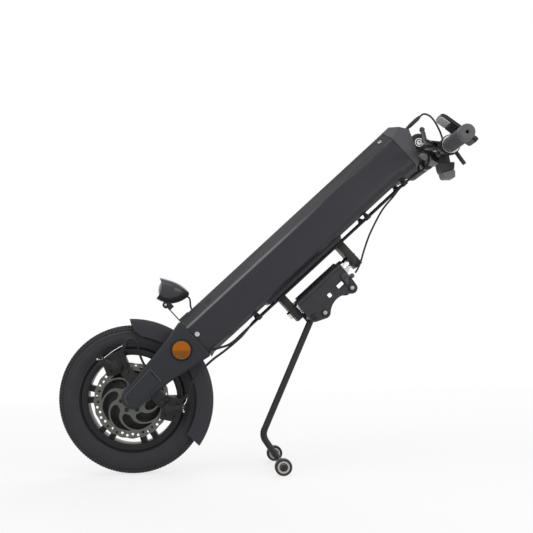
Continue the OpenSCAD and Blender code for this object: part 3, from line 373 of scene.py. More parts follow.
def amber_prisms(name):
    """Reflector: a fine prism field in three directions, with painted light on its upper half and painted
    shade on its lower half, and brighter at its edge.
    """
    f = Finish(name)
    x, _, z = f.split(f.place(about=REFLECTOR.to_translation()))
    # Painted light and shade: lit tones on the upper half, dim tones on the lower half
    upper = f.ramp(z, -0.0035, 0.0005)
    pitch = 1000.0
    rows = (x * pitch).sine().size()
    columns = ((x * 0.5 + z * 0.866) * pitch).sine().size()
    others = ((x * 0.5 - z * 0.866) * pitch).sine().size()
    cells = rows * columns * others
    edge = f.ramp((x * x + z * z).root(), 0.0166, 0.0180)
    lit = f.blend(cells * 1.6, (0.26, 0.066, 0.002), (0.54, 0.172, 0.006))
    dim = f.blend(cells * 1.6, (0.13, 0.040, 0.005), (0.34, 0.120, 0.018))
    tone = f.blend(edge, f.blend(upper, dim, lit), (0.42, 0.135, 0.006))
    return f.set(Base_Color=tone, Roughness=0.2 + cells * 0.1, Normal=f.bump(cells, 0.0004, 0.5),
                 Coat_Weight=0.03, Specular_IOR_Level=0.12)


def clear_ribs(name):
    """Lamp glass: clear with upright ribs."""
    f = Finish(name)
    _, y, _ = f.split(f.place())
    ribs = (y * 1300.0).sine() * 0.5 + 0.5
    tone = f.blend(ribs, (0.055, 0.070, 0.100), (0.13, 0.155, 0.20))
    return f.set(Base_Color=tone, Roughness=0.06 + ribs * 0.06, Normal=f.bump(ribs, 0.0005, 0.6),
                 Coat_Weight=0.5)


def dark_window(name, colour):
    """Display window: dark, smooth, with a faint pixel field."""
    f = Finish(name)
    _, y, z = f.split(f.place())
    dots = (y * 5200.0).sine().size() * (z * 5200.0).sine().size()
    haze = f.noise(60, 3)
    return f.set(Base_Color=f.blend(dots * haze, colour, shade(colour, 2.0)), Roughness=0.08 + haze * 0.08,
                 Coat_Weight=0.5)


def signal_red(name):
    """The button: glossy red plastic, a little worn."""
    f = Finish(name)
    worn = f.noise(90, 4, 0.6)
    return f.set(Base_Color=f.blend(worn, (0.30, 0.012, 0.012), (0.46, 0.03, 0.025)),
                 Roughness=0.3 + worn * 0.15, Normal=f.bump(f.noise(1200), 0.00003))


reflector_amber = amber_prisms("reflector_amber")
lens_clear = clear_ribs("lens_clear")
display_dark = dark_window("display_dark", (0.008, 0.008, 0.011))
signal_red("button_red")

SLOT_FINISH = {s["slot"]: Finish.made[s["slot"]] for s in frame["record"]["materials"]}
NODE_SLOT = {p["node"]: p["material_slot"] for p in frame["record"]["subparts"]}
NODE_BODY = {n: b for b, listed in frame["record"]["behaviour"]["bodies"].items() for n in listed}


# Mesh making

def finished(name, mesh, material, body, slot=None, replaces=(), smooth=35):
    """A piece from a mesh: its finish, its shading, the body it rides on and the nodes it stands for."""
    mesh.materials.clear()
    mesh.materials.append(material)
    piece = bpy.data.objects.new(name, mesh)
    bpy.context.scene.collection.objects.link(piece)
    for face in mesh.polygons:
        face.use_smooth = True
    mesh.set_sharp_from_angle(angle=math.radians(smooth))
    if body:
        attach(piece, body)
    if replaces:
        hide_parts(*replaces)
    return piece


def mesh_of(bm, name, matrix=None, weld=0.0):
    """Closes a bmesh into a mesh in the row's frame, facing outwards."""
    if weld:
        bmesh.ops.remove_doubles(bm, verts=bm.verts, dist=weld)
    bmesh.ops.recalc_face_normals(bm, faces=bm.faces)
    mesh = bpy.data.meshes.new(name)
    bm.to_mesh(mesh)
    bm.free()
    if matrix is not None:
        mesh.transform(matrix)
    return mesh


def holding(mesh):
    """An object that holds a mesh while modifiers run on it."""
    holder = bpy.data.objects.new("holder", mesh)
    bpy.context.scene.collection.objects.link(holder)
    return holder


def settled(holder):
    """What a holder's modifiers make, as a plain mesh. The holder is removed."""
    deps = bpy.context.evaluated_depsgraph_get()
    result = bpy.data.meshes.new_from_object(holder.evaluated_get(deps))
    bpy.data.objects.remove(holder)
    return result


def with_modifiers(mesh, *steps):
    """Runs modifiers on a mesh."""
    holder = holding(mesh)
    for kind, settings in steps:
        modifier = holder.modifiers.new(kind.lower(), kind)
        for key, value in settings.items():
            setattr(modifier, key, value)
    return settled(holder)


def bevel(width, segments=2, angle=32):
    """Settings of a modifier that breaks the edges sharper than an angle."""
    return ("BEVEL", {"width": width, "segments": segments, "limit_method": "ANGLE",
                      "angle_limit": math.radians(angle), "harden_normals": False,
                      "miter_outer": "MITER_ARC"})


def eased(node, width=0.0007, segments=2, angle=32, material=None, shape=None):
    """The node's own solid with its edges broken, as a moulded or machined piece has them."""
    bm = bmesh.new()
    bm.from_mesh(nodes[node].data)
    bmesh.ops.remove_doubles(bm, verts=bm.verts, dist=2e-6)
    bmesh.ops.dissolve_limit(bm, angle_limit=math.radians(0.6), verts=bm.verts, edges=bm.edges)
    for v in bm.verts if shape else ():
        v.co = shape(v.co)
    mesh = bpy.data.meshes.new(node + "_eased")
    bm.to_mesh(mesh)
    bm.free()
    mesh = with_modifiers(mesh, bevel(width, segments, angle))
    slot = NODE_SLOT[node]
    return finished(node + "_eased", mesh, material or SLOT_FINISH[slot], NODE_BODY[node], slot, (node,))


def loft(bm, loops, cap_first=True, cap_last=True, closed=True):
    """Skins loops of equal length one to the next, with flat ends."""
    rings = [[bm.verts.new(p) for p in loop] for loop in loops]
    count = len(rings[0])
    for a, b in zip(rings, rings[1:]):
        for i in range(count if closed else count - 1):
            j = (i + 1) % count
            bm.faces.new((a[i], a[j], b[j], b[i]))
    if cap_first:
        bm.faces.new(rings[0][::-1])
    if cap_last:
        bm.faces.new(rings[-1])
    return rings


def lathe(bm, profile, steps=64, centre=(0, 0, 0), closed=False):
    """Turns an outline of (radius, sideways) points about the crosswise axis."""
    rows = []
    for r, y in profile:
        rows.append([bm.verts.new((centre[0] + r * math.cos(TAU * k / steps), centre[1] + y,
                                   centre[2] + r * math.sin(TAU * k / steps))) for k in range(steps)])
    pairs = list(zip(rows, rows[1:])) + ([(rows[-1], rows[0])] if closed else [])
    for a, b in pairs:
        for k in range(steps):
            m = (k + 1) % steps
            bm.faces.new((a[k], a[m], b[m], b[k]))
    if not closed:
        for row in (rows[0], rows[-1]):
            if (row[0].co - row[steps // 2].co).length > 1e-9:
                bm.faces.new(row)
    return rows


def smooth_path(points, step):
    """Points at a close step on a smooth curve through the given ones."""
    points = [Vector(p) for p in points]
    path = []
    for i in range(len(points) - 1):
        a, b = points[max(0, i - 1)], points[i]
        c, d = points[i + 1], points[min(len(points) - 1, i + 2)]
        count = max(2, round((c - b).length / step))
        for k in range(count):
            t = k / count
            path.append(0.5 * (2 * b + (c - a) * t + (2 * a - 5 * b + 4 * c - d) * t * t
                               + (3 * b - a - 3 * c + d) * t ** 3))
    return path + [points[-1]]


def sweep(bm, path, radius, sides=14):
    """A round cord along a path, with domed-off flat ends and no twist."""
    side = None
    loops = []
    for i, p in enumerate(path):
        along = (path[min(i + 1, len(path) - 1)] - path[max(i - 1, 0)]).normalized()
        if side is None:
            side = along.orthogonal().normalized()
        side = (side - along * side.dot(along)).normalized()
        other = along.cross(side)
        r = radius(i / (len(path) - 1)) if callable(radius) else radius
        loops.append([p + r * (math.cos(TAU * k / sides) * side + math.sin(TAU * k / sides) * other)
                      for k in range(sides)])
    loft(bm, loops)


def drawn_in(points, distance):
    """A closed outline moved to its left by a distance, corner by corner."""
    moved = []
    for i, p in enumerate(points):
        before = (p - points[i - 1]).normalized()
        after = (points[(i + 1) % len(points)] - p).normalized()
        side = Vector((-before.y, before.x))
        lean = side + Vector((-after.y, after.x))
        moved.append(p + lean * (distance / max(0.5, lean.dot(side))))
    return moved


def plate(bm, outer, holes, y0, y1, ease):
    """A flat piece across the machine, with holes through it and its edges broken."""
    ends = [[], []]
    for index, loop in enumerate([outer] + holes):
        loop = [Vector(p) for p in loop]
        area = sum(a.x * b.y - b.x * a.y for a, b in zip(loop, loop[1:] + loop[:1]))
        if (area > 0) != (index == 0):
            loop.reverse()
        face = drawn_in(loop, ease)
        rings = [[bm.verts.new((p.x, y, p.y)) for p in points]
                 for points, y in ((face, y0), (loop, y0 + ease), (loop, y1 - ease), (face, y1))]
        for a, b in zip(rings, rings[1:]):
            for i in range(len(a)):
                bm.faces.new((a[i - 1], a[i], b[i], b[i - 1]))
        for end, ring in zip(ends, (rings[0], rings[-1])):
            end += [bm.edges.get((ring[i - 1], ring[i])) for i in range(len(ring))]
    for end in ends:
        bmesh.ops.triangle_fill(bm, use_beauty=True, edges=end)


def arc(centre, radius, start, stop, count):
    """Points on a part circle, in degrees, both ends included."""
    angles = [math.radians(start + (stop - start) * k / count) for k in range(count + 1)]
    return [Vector((centre[0] + radius * math.cos(a), centre[1] + radius * math.sin(a))) for a in angles]


def rounded(points, radii, steps=5):
    """A closed outline with its corners rounded by short curves."""
    loop = []
    for i, p in enumerate(points):
        p, r = Vector(p), radii[i]
        before, after = Vector(points[i - 1]) - p, Vector(points[(i + 1) % len(points)]) - p
        a = p + before.normalized() * min(r, before.length / 2)
        b = p + after.normalized() * min(r, after.length / 2)
        for k in range(steps + 1):
            t = k / steps
            loop.append((1 - t) ** 2 * a + 2 * t * (1 - t) * p + t * t * b)
    return loop


def rounded_box(x0, x1, y0, y1, radius, steps=5):
    """A rectangle with its four corners rounded alike."""
    return rounded([(x0, y0), (x1, y0), (x1, y1), (x0, y1)], [radius] * 4, steps)


def lathed(name, profile, steps, place, *look, closed=True, weld=0.0, centre=(0, 0, 0)):
    """A piece turned about the crosswise axis of its place. The look is what finished() takes."""
    bm = bmesh.new()
    lathe(bm, profile, steps, centre, closed)
    return finished(name, mesh_of(bm, name, place, weld), *look)


def cut(name, outline, holes, span, ease, place, *look):
    """A flat piece with holes, across a span sideways. The look is what finished() takes."""
    bm = bmesh.new()
    plate(bm, outline, holes, *span, ease)
    return finished(name, mesh_of(bm, name, place), *look)


# Every node wears its slot's finish, and the plainer ones get broken edges

for name, node in nodes.items():
    node.data.materials.clear()
    node.data.materials.append(SLOT_FINISH[NODE_SLOT[name]])


def plug_drawn_in(point):
    """Lifts the lower side of the crown's plug, so that the body's raised underside covers it."""
    plug_from, kept_to = 186.2, -25
    u, y, w = BODY.inverted() @ point
    if u > plug_from and w < kept_to:
        return BODY @ Vector((u, y, kept_to + (w - kept_to) * 0.5))
    return point


eased("fork_crown", shape=plug_drawn_in)
for name in ("rim", "hub_cover", "fork_leg_left", "fork_leg_right", "calipers",
             "top_cap", "lamp_bracket", "bracket_base", "bracket_arms", "kingpin", "headset_cups",
             "dock_head", "latch_lever", "bar_clamp", "handlebar", "lever_perches", "throttle_paddle",
             "switch_button", "axle_nuts", "cable_clips"):
    eased(name)
eased("frame_bolts", material=bolt_mixed)
eased("dock_bolts", material=bolt_faces)
for name in ("caliper_arm_front", "caliper_arm_rear"):
    eased(name, material=bolt_dark)


# Body: an eight-sided tube whose upper ridges are crisp at the lower end and soften towards the top
BODY_FROM, BODY_TO = 186, 768
BODY_TOP, TOP_HALF, UNDER_HALF = 56, 34, 40
BODY_WALL = 3
BODY_PLACES = (200, 230, 300, 440, 475, 510, 545, 580, 628, 640, 652, 664, 676, 726, 731, 737, 742)
BEVEL_SLOPE = Vector((BODY_HALF - TOP_HALF, RIDGE - BODY_TOP)).normalized()
BEVEL_MIDDLE = Vector((BODY_HALF + TOP_HALF, RIDGE + BODY_TOP)) / 2


def eased_step(value, low, high):
    """0 below a range, 1 above it, and a smooth rise between."""
    t = min(1.0, max(0.0, (value - low) / (high - low)))
    return t * t * (3 - 2 * t)


def body_loop(u, inset, dent=0.0):
    """Section of the body at a distance along it, drawn in by a wall, its upper faces dented by a seam."""
    upper = 2.2 + 20 * eased_step(u, 628, 676)
    lower = 4 + 11 * eased_step(u, 440, 580)
    lift = 1 - eased_step(u, 726, 742)
    edge, under = -39 + 6 * lift, -50 + 7 * lift
    half = [(TOP_HALF, BODY_TOP), (BODY_HALF, RIDGE), (BODY_HALF, edge), (UNDER_HALF, under)]
    corners = half + [(-y, w) for y, w in half[::-1]]
    radii = [3, upper, lower, 4]
    points = drawn_in(rounded(corners[::-1], (radii + radii[::-1])[::-1], 6), inset)
    return [(u, p.x, p.y - dent if p.y > RIDGE - 1 else p.y) for p in points]


def body_form():
    """The tube: its outside with a seam across, its inside, and the rims at both ends."""
    seam = [(243 + d, dent) for d, dent in ((-0.6, 0.0), (-0.3, 0.5), (0.3, 0.5), (0.6, 0.0))]
    places = sorted([(u, 0.0) for u in BODY_PLACES + (BODY_FROM + 0.4, BODY_TO - 1.2)] + seam)
    outside = [body_loop(BODY_FROM, 0.3)]
    outside += [body_loop(u, 0, dent) for u, dent in places]
    outside += [body_loop(BODY_TO, 1.2)]
    inside = [body_loop(u, BODY_WALL) for u in (BODY_TO,) + BODY_PLACES[::-1] + (BODY_FROM,)]
    bm = bmesh.new()
    loft(bm, outside + inside + outside[:1], False, False)
    finished("body_drawn", mesh_of(bm, "body", BODY, 0.001), body_black, "frame", "body_black",
             ("body_shell",), 24)


def clip_stalks(side):
    """Stalks between the body's raised underside and the cable clips."""
    foot = rounded_box(-4.5, 4.5, -6.5, 6.5, 2)
    waist = ((-50.4, 0.96), (-49.4, 1.0), (-47.5, 0.8), (-44, 0.7), (-39.5, 0.85))
    clip_y = side * 34
    bm = bmesh.new()
    for u in (316, 626, 731):
        loft(bm, [[(u + p.x * t, clip_y + p.y * t, w) for p in foot] for w, t in waist])
    finished("clip_stalks_" + SIDE_TAG[side], mesh_of(bm, "stalks", BODY), clip_plastic, "frame",
             "clip_plastic")


def body_fittings():
    """Saddle between the body and the bracket's base, the wrapped battery and the finned controller."""
    saddle = rounded([(343, -38), (352, -50), (553, -50), (562, -38)], [2, 3, 3, 2])
    cut("bracket_saddle", saddle, [], (-38, 38), 1.2, BODY, body_black, "frame", "body_black", (), 30)
    cell = ((0, 42.4), (2.4, 44), (34.6, 44), (37, 42.4))
    cells = [(232 + 41 * k + d, w) for k in range(10) for d, w in cell]
    pack = [(230, -36), (230, 41)] + cells + [(640, 41), (640, -36), (636, -39.5), (234, -39.5)]
    cut("battery_wrapped", pack, [], (-36, 36), 1.2, BODY, pack_blue, "frame", NODE_SLOT["battery_pack"],
        ("battery_pack",))
    fin = ((0, 4), (0.6, 10), (3.0, 10), (3.6, 4))
    fins = [(653 + 6 * k + d, w) for k in range(11) for d, w in fin]
    case = [(652, -38), (652, 3)] + fins + [(722, 3), (722, -38), (720.5, -39.5), (653.5, -39.5)]
    cut("controller_finned", case, [], (-36, 36), 0.3, BODY, controller_alu, "frame", NODE_SLOT["controller"],
        ("controller",))


def on_bevel(u, side):
    """Frame on the body's upper bevel: x along the body, y out of the bevel."""
    slope = BEVEL_SLOPE
    return BODY @ Matrix(((1, 0, 0, u), (0, -side * slope.y, -slope.x, side * BEVEL_MIDDLE.x),
                          (0, slope.x, -side * slope.y, BEVEL_MIDDLE.y), (0, 0, 0, 1)))


def bevel_fittings(side):
    """A socket screw near the upper end of a bevel, and an oval plug near its lower end."""
    tag = SIDE_TAG[side]
    screw = [(0.01, -2), (4.4, -2), (4.4, 1.2), (3.9, 1.9), (2.4, 2.0), (2.2, 0.6), (0.01, 0.6)]
    lathed("bevel_screw_" + tag, screw, 28, on_bevel(748, side), bolt_bright, "frame", "bolt_bright",
           closed=False, weld=0.005)
    cut("bevel_plug_" + tag, rounded_box(-8, 8, -4.5, 4.5, 4.5, 6), [], (-1.5, 0.35), 0.25,
        on_bevel(260, side), clip_plastic, "frame", "body_black")


body_form()
body_fittings()
for side in (-1, 1):
    clip_stalks(side)
    bevel_fittings(side)


# Geometry Nodes: rows of lugs or ribs round a crosswise axis

class Tree:
    """A Geometry Nodes tree: its named inputs, its nodes, and its use on an object."""

    def __init__(self, name, **inputs):
        self.tree = bpy.data.node_groups.new(name, "GeometryNodeTree")
        self.ids = {}
        for key, (kind, default) in inputs.items():
            item = self.tree.interface.new_socket(key, in_out="INPUT", socket_type=kind)
            if default is not None:
                item.default_value = default
            self.ids[key] = item.identifier
        self.tree.interface.new_socket("Geometry", in_out="OUTPUT", socket_type="NodeSocketGeometry")
        self.source = self.tree.nodes.new("NodeGroupInput")

    def given(self, key):
        """The socket of a named input."""
        return next(s for s in self.source.outputs if s.identifier == self.ids[key])

    def node(self, kind, inputs=None, output=0, operation=None):
        """Adds a node: its operation first, then its sockets, and gives back one output."""
        made = self.tree.nodes.new(kind)
        if operation:
            made.operation = operation
        for key, value in (inputs or {}).items():
            socket = made.inputs[key]
            if isinstance(value, bpy.types.NodeSocket):
                self.tree.links.new(value, socket)
            else:
                socket.default_value = value
        return made.outputs[output]

    def sum(self, operation, a, b=0.0):
        """A Math node on two values."""
        return self.node("ShaderNodeMath", {0: a, 1: b}, operation=operation)

    def end(self, geometry, material):
        """Makes the instances real, sets their material and closes the tree."""
        real = self.node("GeometryNodeRealizeInstances", {0: geometry})
        painted = self.node("GeometryNodeSetMaterial", {"Geometry": real, "Material": material})
        self.tree.links.new(painted, self.tree.nodes.new("NodeGroupOutput").inputs[0])

    def mesh(self, **values):
        """The tree's result as a plain mesh."""
        holder = holding(bpy.data.meshes.new("holder"))
        modifier = holder.modifiers.new("rows", "NODES")
        modifier.node_group = self.tree
        for key, value in values.items():
            modifier[self.ids[key]] = value
        return settled(holder)


def row_tree():
    """Blocks in a ring: each stands on a circle, leans with the surface and is skewed to the ring."""
    number, vector = "NodeSocketFloat", "NodeSocketVector"
    t = Tree("block_row", Count=("NodeSocketInt", 60), Radius=(number, 0.15), Shift=(number, 0.0),
             Phase=(number, 0.0), Size=(vector, (0.003, 0.008, 0.006)), Lean=(number, 0.0),
             Skew=(number, 0.0), Centre=(vector, (0, 0, 0)), Finish=("NodeSocketMaterial", None))
    block = t.node("GeometryNodeMeshCube", {"Size": t.given("Size")}, "Mesh")
    stance = t.node("ShaderNodeCombineXYZ", {"X": t.given("Skew"), "Z": t.given("Lean")})
    turned_block = t.node("GeometryNodeTransform", {"Geometry": block, "Rotation": stance})
    step = t.sum("DIVIDE", TAU, t.given("Count"))
    angle = t.sum("ADD", t.given("Phase"), t.sum("MULTIPLY", t.node("GeometryNodeInputIndex"), step))
    place = t.node("ShaderNodeCombineXYZ", {
        "X": t.sum("MULTIPLY", t.sum("COSINE", angle), t.given("Radius")), "Y": t.given("Shift"),
        "Z": t.sum("MULTIPLY", t.sum("SINE", angle), t.given("Radius"))})
    points = t.node("GeometryNodePoints", {"Count": t.given("Count"), "Position": place})
    spun = t.node("ShaderNodeCombineXYZ", {"Y": t.sum("MULTIPLY", angle, -1.0)})
    placed = t.node("GeometryNodeInstanceOnPoints",
                    {"Points": points, "Instance": turned_block, "Rotation": spun})
    moved = t.node("GeometryNodeTransform", {"Geometry": placed, "Translation": t.given("Centre")})
    t.end(moved, t.given("Finish"))
    return t


block_row = row_tree()


def rows_mesh(name, rows, centre, material, base=None):
    """Joins rings of blocks, and the form they stand on, into one mesh."""
    bm = bmesh.new()
    if base is not None:
        bm.from_mesh(base)
    for row in rows:
        bm.from_mesh(block_row.mesh(Centre=centre, Finish=material, **row))
    mesh = bpy.data.meshes.new(name)
    bm.to_mesh(mesh)
    bm.free()
    return mesh


# Wheel

def tyre_form():
    """Carcass with its bead lines and shoulder ring, and a tread of slanted blocks."""
    half = [(108.6, 18.2), (110.0, 20.6), (112.6, 22.9), (113.2, 24.1), (114.2, 24.4), (115.0, 24.4),
            (119.0, 26.5), (124.0, 28.0), (130.0, 28.7), (136.0, 28.2), (140.0, 27.1), (140.6, 27.6),
            (141.7, 27.4), (142.2, 26.3), (146.0, 24.5), (150.5, 20.9), (154.0, 16.4), (156.6, 10.4),
            (157.8, 5.0)]
    outer = [(r, -y) for r, y in half] + [(158.1, 0)] + half[::-1]
    bm = bmesh.new()
    lathe(bm, outer + [(106.6, 17.0), (106.6, -17.0)], 160, closed=True)
    carcass = mesh_of(bm, "carcass", WHEEL)
    lugs = 156
    rings = ((0.1564, 0.0056, 0.0, (0.0030, 0.0088, 0.0046), -0.10, 0.42),
             (0.1532, 0.0148, 0.045, (0.0030, 0.0070, 0.0046), -0.44, 0.20),
             (0.1481, 0.0213, 0.0, (0.0026, 0.0066, 0.0040), -0.80, 0.08))
    rows = [dict(Count=lugs, Radius=radius, Shift=side * shift, Phase=phase + 0.02 * side, Size=size,
                 Lean=side * lean, Skew=side * skew)
            for side in (-1, 1) for radius, shift, phase, size, lean, skew in rings]
    finished("tyre_moulded", rows_mesh("tyre_moulded", rows, AXLE, tyre_rubber, carcass), tyre_rubber,
             "wheel", "tyre_rubber", ("tyre",), 40)


tyre_form()


def on_circle(radius, degrees):
    """A point on a circle about the origin."""
    return Vector((radius * math.cos(math.radians(degrees)), radius * math.sin(math.radians(degrees))))


def rotor_form():
    """Ground disc: waved rim, drilled holes in its brake band, curved arms with open gaps between them."""
    arms, arm_pitch, steps = 8, 45, 12
    inner, outer = 30.5, 62.5

    def arm_edge(number, share, side):
        """A point on one edge of an arm, at a share of the way out."""
        r = inner + (outer - inner) * share
        half = 4.0 + 3.2 * abs(2 * share - 1) ** 5
        return on_circle(r, 4 + arm_pitch * (number + share * share) + side * math.degrees(half / r))

    waves, rim_points = 20, 240
    turns = [360 * k / rim_points for k in range(rim_points)]
    rim = [on_circle(79.0 + 0.75 * math.cos(math.radians(waves * a)), a) for a in turns]
    shares = [k / steps for k in range(steps + 1)]
    gaps = []
    for n in range(arms):
        near = [arm_edge(n, t, 1) for t in shares]
        far = [arm_edge(n + 1, t, -1) for t in shares[::-1]]
        between = [near[-1].lerp(far[0], k / 6) for k in range(1, 6)]
        bow = [on_circle(outer + 0.5, math.degrees(math.atan2(m.y, m.x))) for m in between]
        gaps.append(near + bow + far)
    holes = [arc(on_circle(71.5 + (1.5 if k % 2 else -1.5), 9 * k), 2.8, 0, 330, 11) for k in range(40)]
    bore = arc((0, 0), 17, 0, 352, 44)
    cut("rotor_ground", rim, gaps + holes + [bore], (-48.2, -46.0), 0.25, WHEEL, rotor_steel, "wheel",
        "rotor_steel", ("brake_rotor",), 30)


rotor_form()


def caster_form(side):
    """Small wheel: rubber tread on a pale moulded hub with a dark ring."""
    name = "caster_" + SIDE_TAG[side]
    lo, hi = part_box(name)
    place = Matrix.Translation((Vector(lo) + Vector(hi)) / 2) @ MM
    tread = [(12.4, -6.8), (14.0, -7.8), (15.6, -7.9), (16.9, -7.0), (17.6, -4.8)]
    tread += [(17.7, 0)] + [(r, -y) for r, y in tread[::-1]]
    lathed(name + "_tread", tread, 72, place, caster_rubber, name, "caster_rubber", (name,))
    hub = [(4.4, -5.4), (6.2, -5.4), (6.5, -4.2), (8.2, -4.2), (8.8, -6.4), (12.3, -7.0), (12.5, -6.4)]
    lathed(name + "_hub", hub + [(r, -y) for r, y in hub[::-1]], 72, place, hub_pale, name, "caster_rubber")
    ring = [(6.6, -5.2), (8.2, -5.0), (8.2, -4.0), (6.6, -4.0)]
    lathed(name + "_ring", ring, 48, place, bolt_dark, name, "caster_rubber")


caster_form(-1)
caster_form(1)


# Cords: routes along the body, sideways and across it, in millimetres
FRONT_ROUTE = [(809, -59, -30), (809, -50, -30), (807, -44, -42), (800, -39, -53), (790, -37, -58),
               (778, -36, -58), (766, -35, -56), (740, -34, -54), (640, -34, -54), (500, -34, -54),
               (360, -34, -54), (280, -36, -54), (235, -50, -53), (208, -64, -42), (182, -64, -27),
               (150, -64, -6), (100, -64, 8), (80, -64, 16), (73, -64, 26), (72, -64, 38), (80, -68, 60),
               (92, -73, 82), (88, -75, 96), (78, -75, 97)]
REAR_ROUTE = [(809, 59, -30), (809, 50, -30), (807, 44, -42), (800, 39, -53), (790, 37, -58), (778, 36, -58),
              (766, 35, -56), (740, 34, -54), (640, 34, -54), (500, 34, -54), (360, 34, -54), (326, 34, -54),
              (311, 34, -54), (302, 33, -54), (280, 10, -57), (255, -26, -58), (215, -62, -55),
              (180, -78, -51), (140, -82, -52), (112, -80, -60), (101, -78, -67)]
CONTROL_ROUTE = [(811.6, 0, 27), (820, 0, 28.5), (842, 0, 28.5), (864, 0, 28.5), (873, -4, 26.6),
                 (875.5, -14, 14), (869, -28, -3.5), (858, -42, -23.5), (846, -53, -41)]
RELEASE_ROUTE = [(770, -24.7, -54), (745, -24.7, -54), (718, -24.7, -55), (700, -24.5, -58), (660, -24, -64),
                 (610, -25, -82), (575, -26, -100), (555, -27, -112), (538, -33, -119), (528, -39, -121)]
LAMP_ROUTE = [(234, 0, 83), (235.4, 0, 79), (233.6, 0, 74), (229, 0, 68), (225, 0, 62.6), (222.4, 0, 57)]


def cord_form(name, routes, radius, replaced):
    """Cords of one kind swept along their routes from a start to an end."""
    bm = bmesh.new()
    for route in routes:
        sweep(bm, smooth_path(route, 4), radius)
    piece = finished(name, mesh_of(bm, name, BODY), cord_black, None, "cord_black", (replaced,))
    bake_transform(piece)


cord_form("brake_cords", [FRONT_ROUTE, REAR_ROUTE], 2.5, "brake_cables")
cord_form("control_cord", [CONTROL_ROUTE], 2.0, "control_cable")
cord_form("release_cord", [RELEASE_ROUTE], 2.0, "release_cable")
cord_form("lamp_cord", [LAMP_ROUTE], 1.9, "lamp_wire")


# Fork covers
COVER_END, COVER_FACE, COVER_CORNER = 187, 70.0, 5
AXLE_BOSS = (7, 2)
COVER = (arc((COVER_END - COVER_CORNER, 48), COVER_CORNER, 0, 82, 5)
         + [Vector((140, 43.4)), Vector((84, 35.5)), Vector((40, 29.6))]
         + arc(AXLE_BOSS, 23, 97, 277, 18)
         + [Vector((45, -22.4)), Vector((86, -25.6)), Vector((140, -34.2))]
         + arc((COVER_END - COVER_CORNER, -37.2), COVER_CORNER, 278, 360, 5))
COVER_PAD = arc((72, 19), 4, 0, 95, 4) + arc(AXLE_BOSS, 16.4, 100, 276, 16) + arc((72, -9), 4, 268, 360, 4)


def cover_form(side):
    """Moulded shell: straight wall, chamfer, flat face, and a raised pad with a bead over the axle, the bead
    paler as a painted highlight.
    """
    name = "cover_%s_moulded" % SIDE_TAG[side]
    wall = [(4.8, -3.0), (3.2, -3.4), (2.6, -8.0), (0.2, -8.0), (0.0, -7.4), (0.0, -3.4), (0.4, -2.6),
            (1.2, -1.8), (2.6, -0.7), (3.4, -0.2), (4.6, 0.0)]
    pad = [(0, -0.1), (0, 0.8), (0.9, 1.8), (1.8, 2.0), (2.8, 1.2), (3.4, 1.1), (4.4, 1.3), (5.4, 1.35)]
    bm = bmesh.new()
    for outline, levels in ((COVER, wall), (COVER_PAD, pad)):
        loft(bm, [[(p.x, side * (COVER_FACE + out), p.y) for p in drawn_in(outline, t)] for t, out in levels])
    finished(name, mesh_of(bm, name, BODY), cover_plastic, "frame", "cover_plastic",
             ("fork_cover_" + SIDE_TAG[side],), 28)
    # The bead is a pale strip along part of the pad's edge: a painted highlight
    ridge_highlight = drawn_in(COVER_PAD, 1.3)
    bead = [(p.x, side * (COVER_FACE + 1.7), p.y) for p in ridge_highlight[-4:] + ridge_highlight[:14]]
    bm = bmesh.new()
    sweep(bm, smooth_path(bead, 2), 0.75, 10)
    finished(name + "_highlight_bead", mesh_of(bm, "bead", BODY), bead_highlight_plastic, "frame", "cover_plastic")


def reflector_form(side):
    """Amber disc with a domed edge in a dark bezel."""
    tag = SIDE_TAG[side]
    disc = [(18.9, 70.2), (18.9, 73.4), (18.2, 74.4), (16.8, 74.8), (9, 75.0), (0.001, 75.0)]
    lathed("reflector_" + tag, [(r, side * y) for r, y in disc], 64, REFLECTOR, reflector_amber, "frame",
           "reflector_amber", ("reflectors",) if side < 0 else (), closed=False, weld=0.01)
    bezel = [(18.9, 70.1), (18.9, 74.2), (19.6, 74.7), (20.6, 74.6), (22.0, 73.0), (22.6, 70.1)]
    lathed("reflector_bezel_" + tag, [(r, side * y) for r, y in bezel], 64, REFLECTOR, caliper_black, "frame",
           "cover_plastic")


for side in (-1, 1):
    cover_form(side)
    reflector_form(side)


# Mudguard: a rounded channel round the tyre, its skirts cut back at both ends

def guard_form():
    """The channel's section, by depth below the crown and sideways, carried round from front to rear."""
    half = [(-1, 40.0), (-0.95, 40.0), (-0.88, 40.0), (-0.78, 40.0), (-0.62, 40.0), (-0.28, 39.7),
            (-0.12, 38.9), (-0.04, 36.8), (0, 33.4), (0.012, 24), (0.018, 12)]
    section = [(depth, -y) for depth, y in half] + [(0.02, 0)] + half[::-1]
    crown, skirt_depth, steps = 171.6, 36, 84
    loops = []
    for k in range(steps + 1):
        loop = []
        for depth, y in section:
            skirt = -min(0, depth)
            front, rear = 49 - 3 * skirt - 8 * skirt ** 5, -77 + 2.6 * skirt
            angle = math.radians(front + (rear - front) * k / steps)
            r = crown + depth * (skirt_depth if depth < 0 else skirt_depth / 2)
            loop.append((r * math.cos(angle), y, r * math.sin(angle)))
        loops.append(loop)
    bm = bmesh.new()
    loft(bm, loops, False, False, closed=False)
    mesh = with_modifiers(mesh_of(bm, "guard"), ("SOLIDIFY", {"thickness": 2.0, "offset": -1.0}),
                          bevel(0.6, 2, 50))
    mesh.transform(BODY)
    finished("guard_moulded", mesh, guard_plastic, "frame", "guard_plastic", ("mudguard",), 40)


guard_form()


# Lamp: bullet shell with a fish-mouth bezel, domed lens, tail cable boot

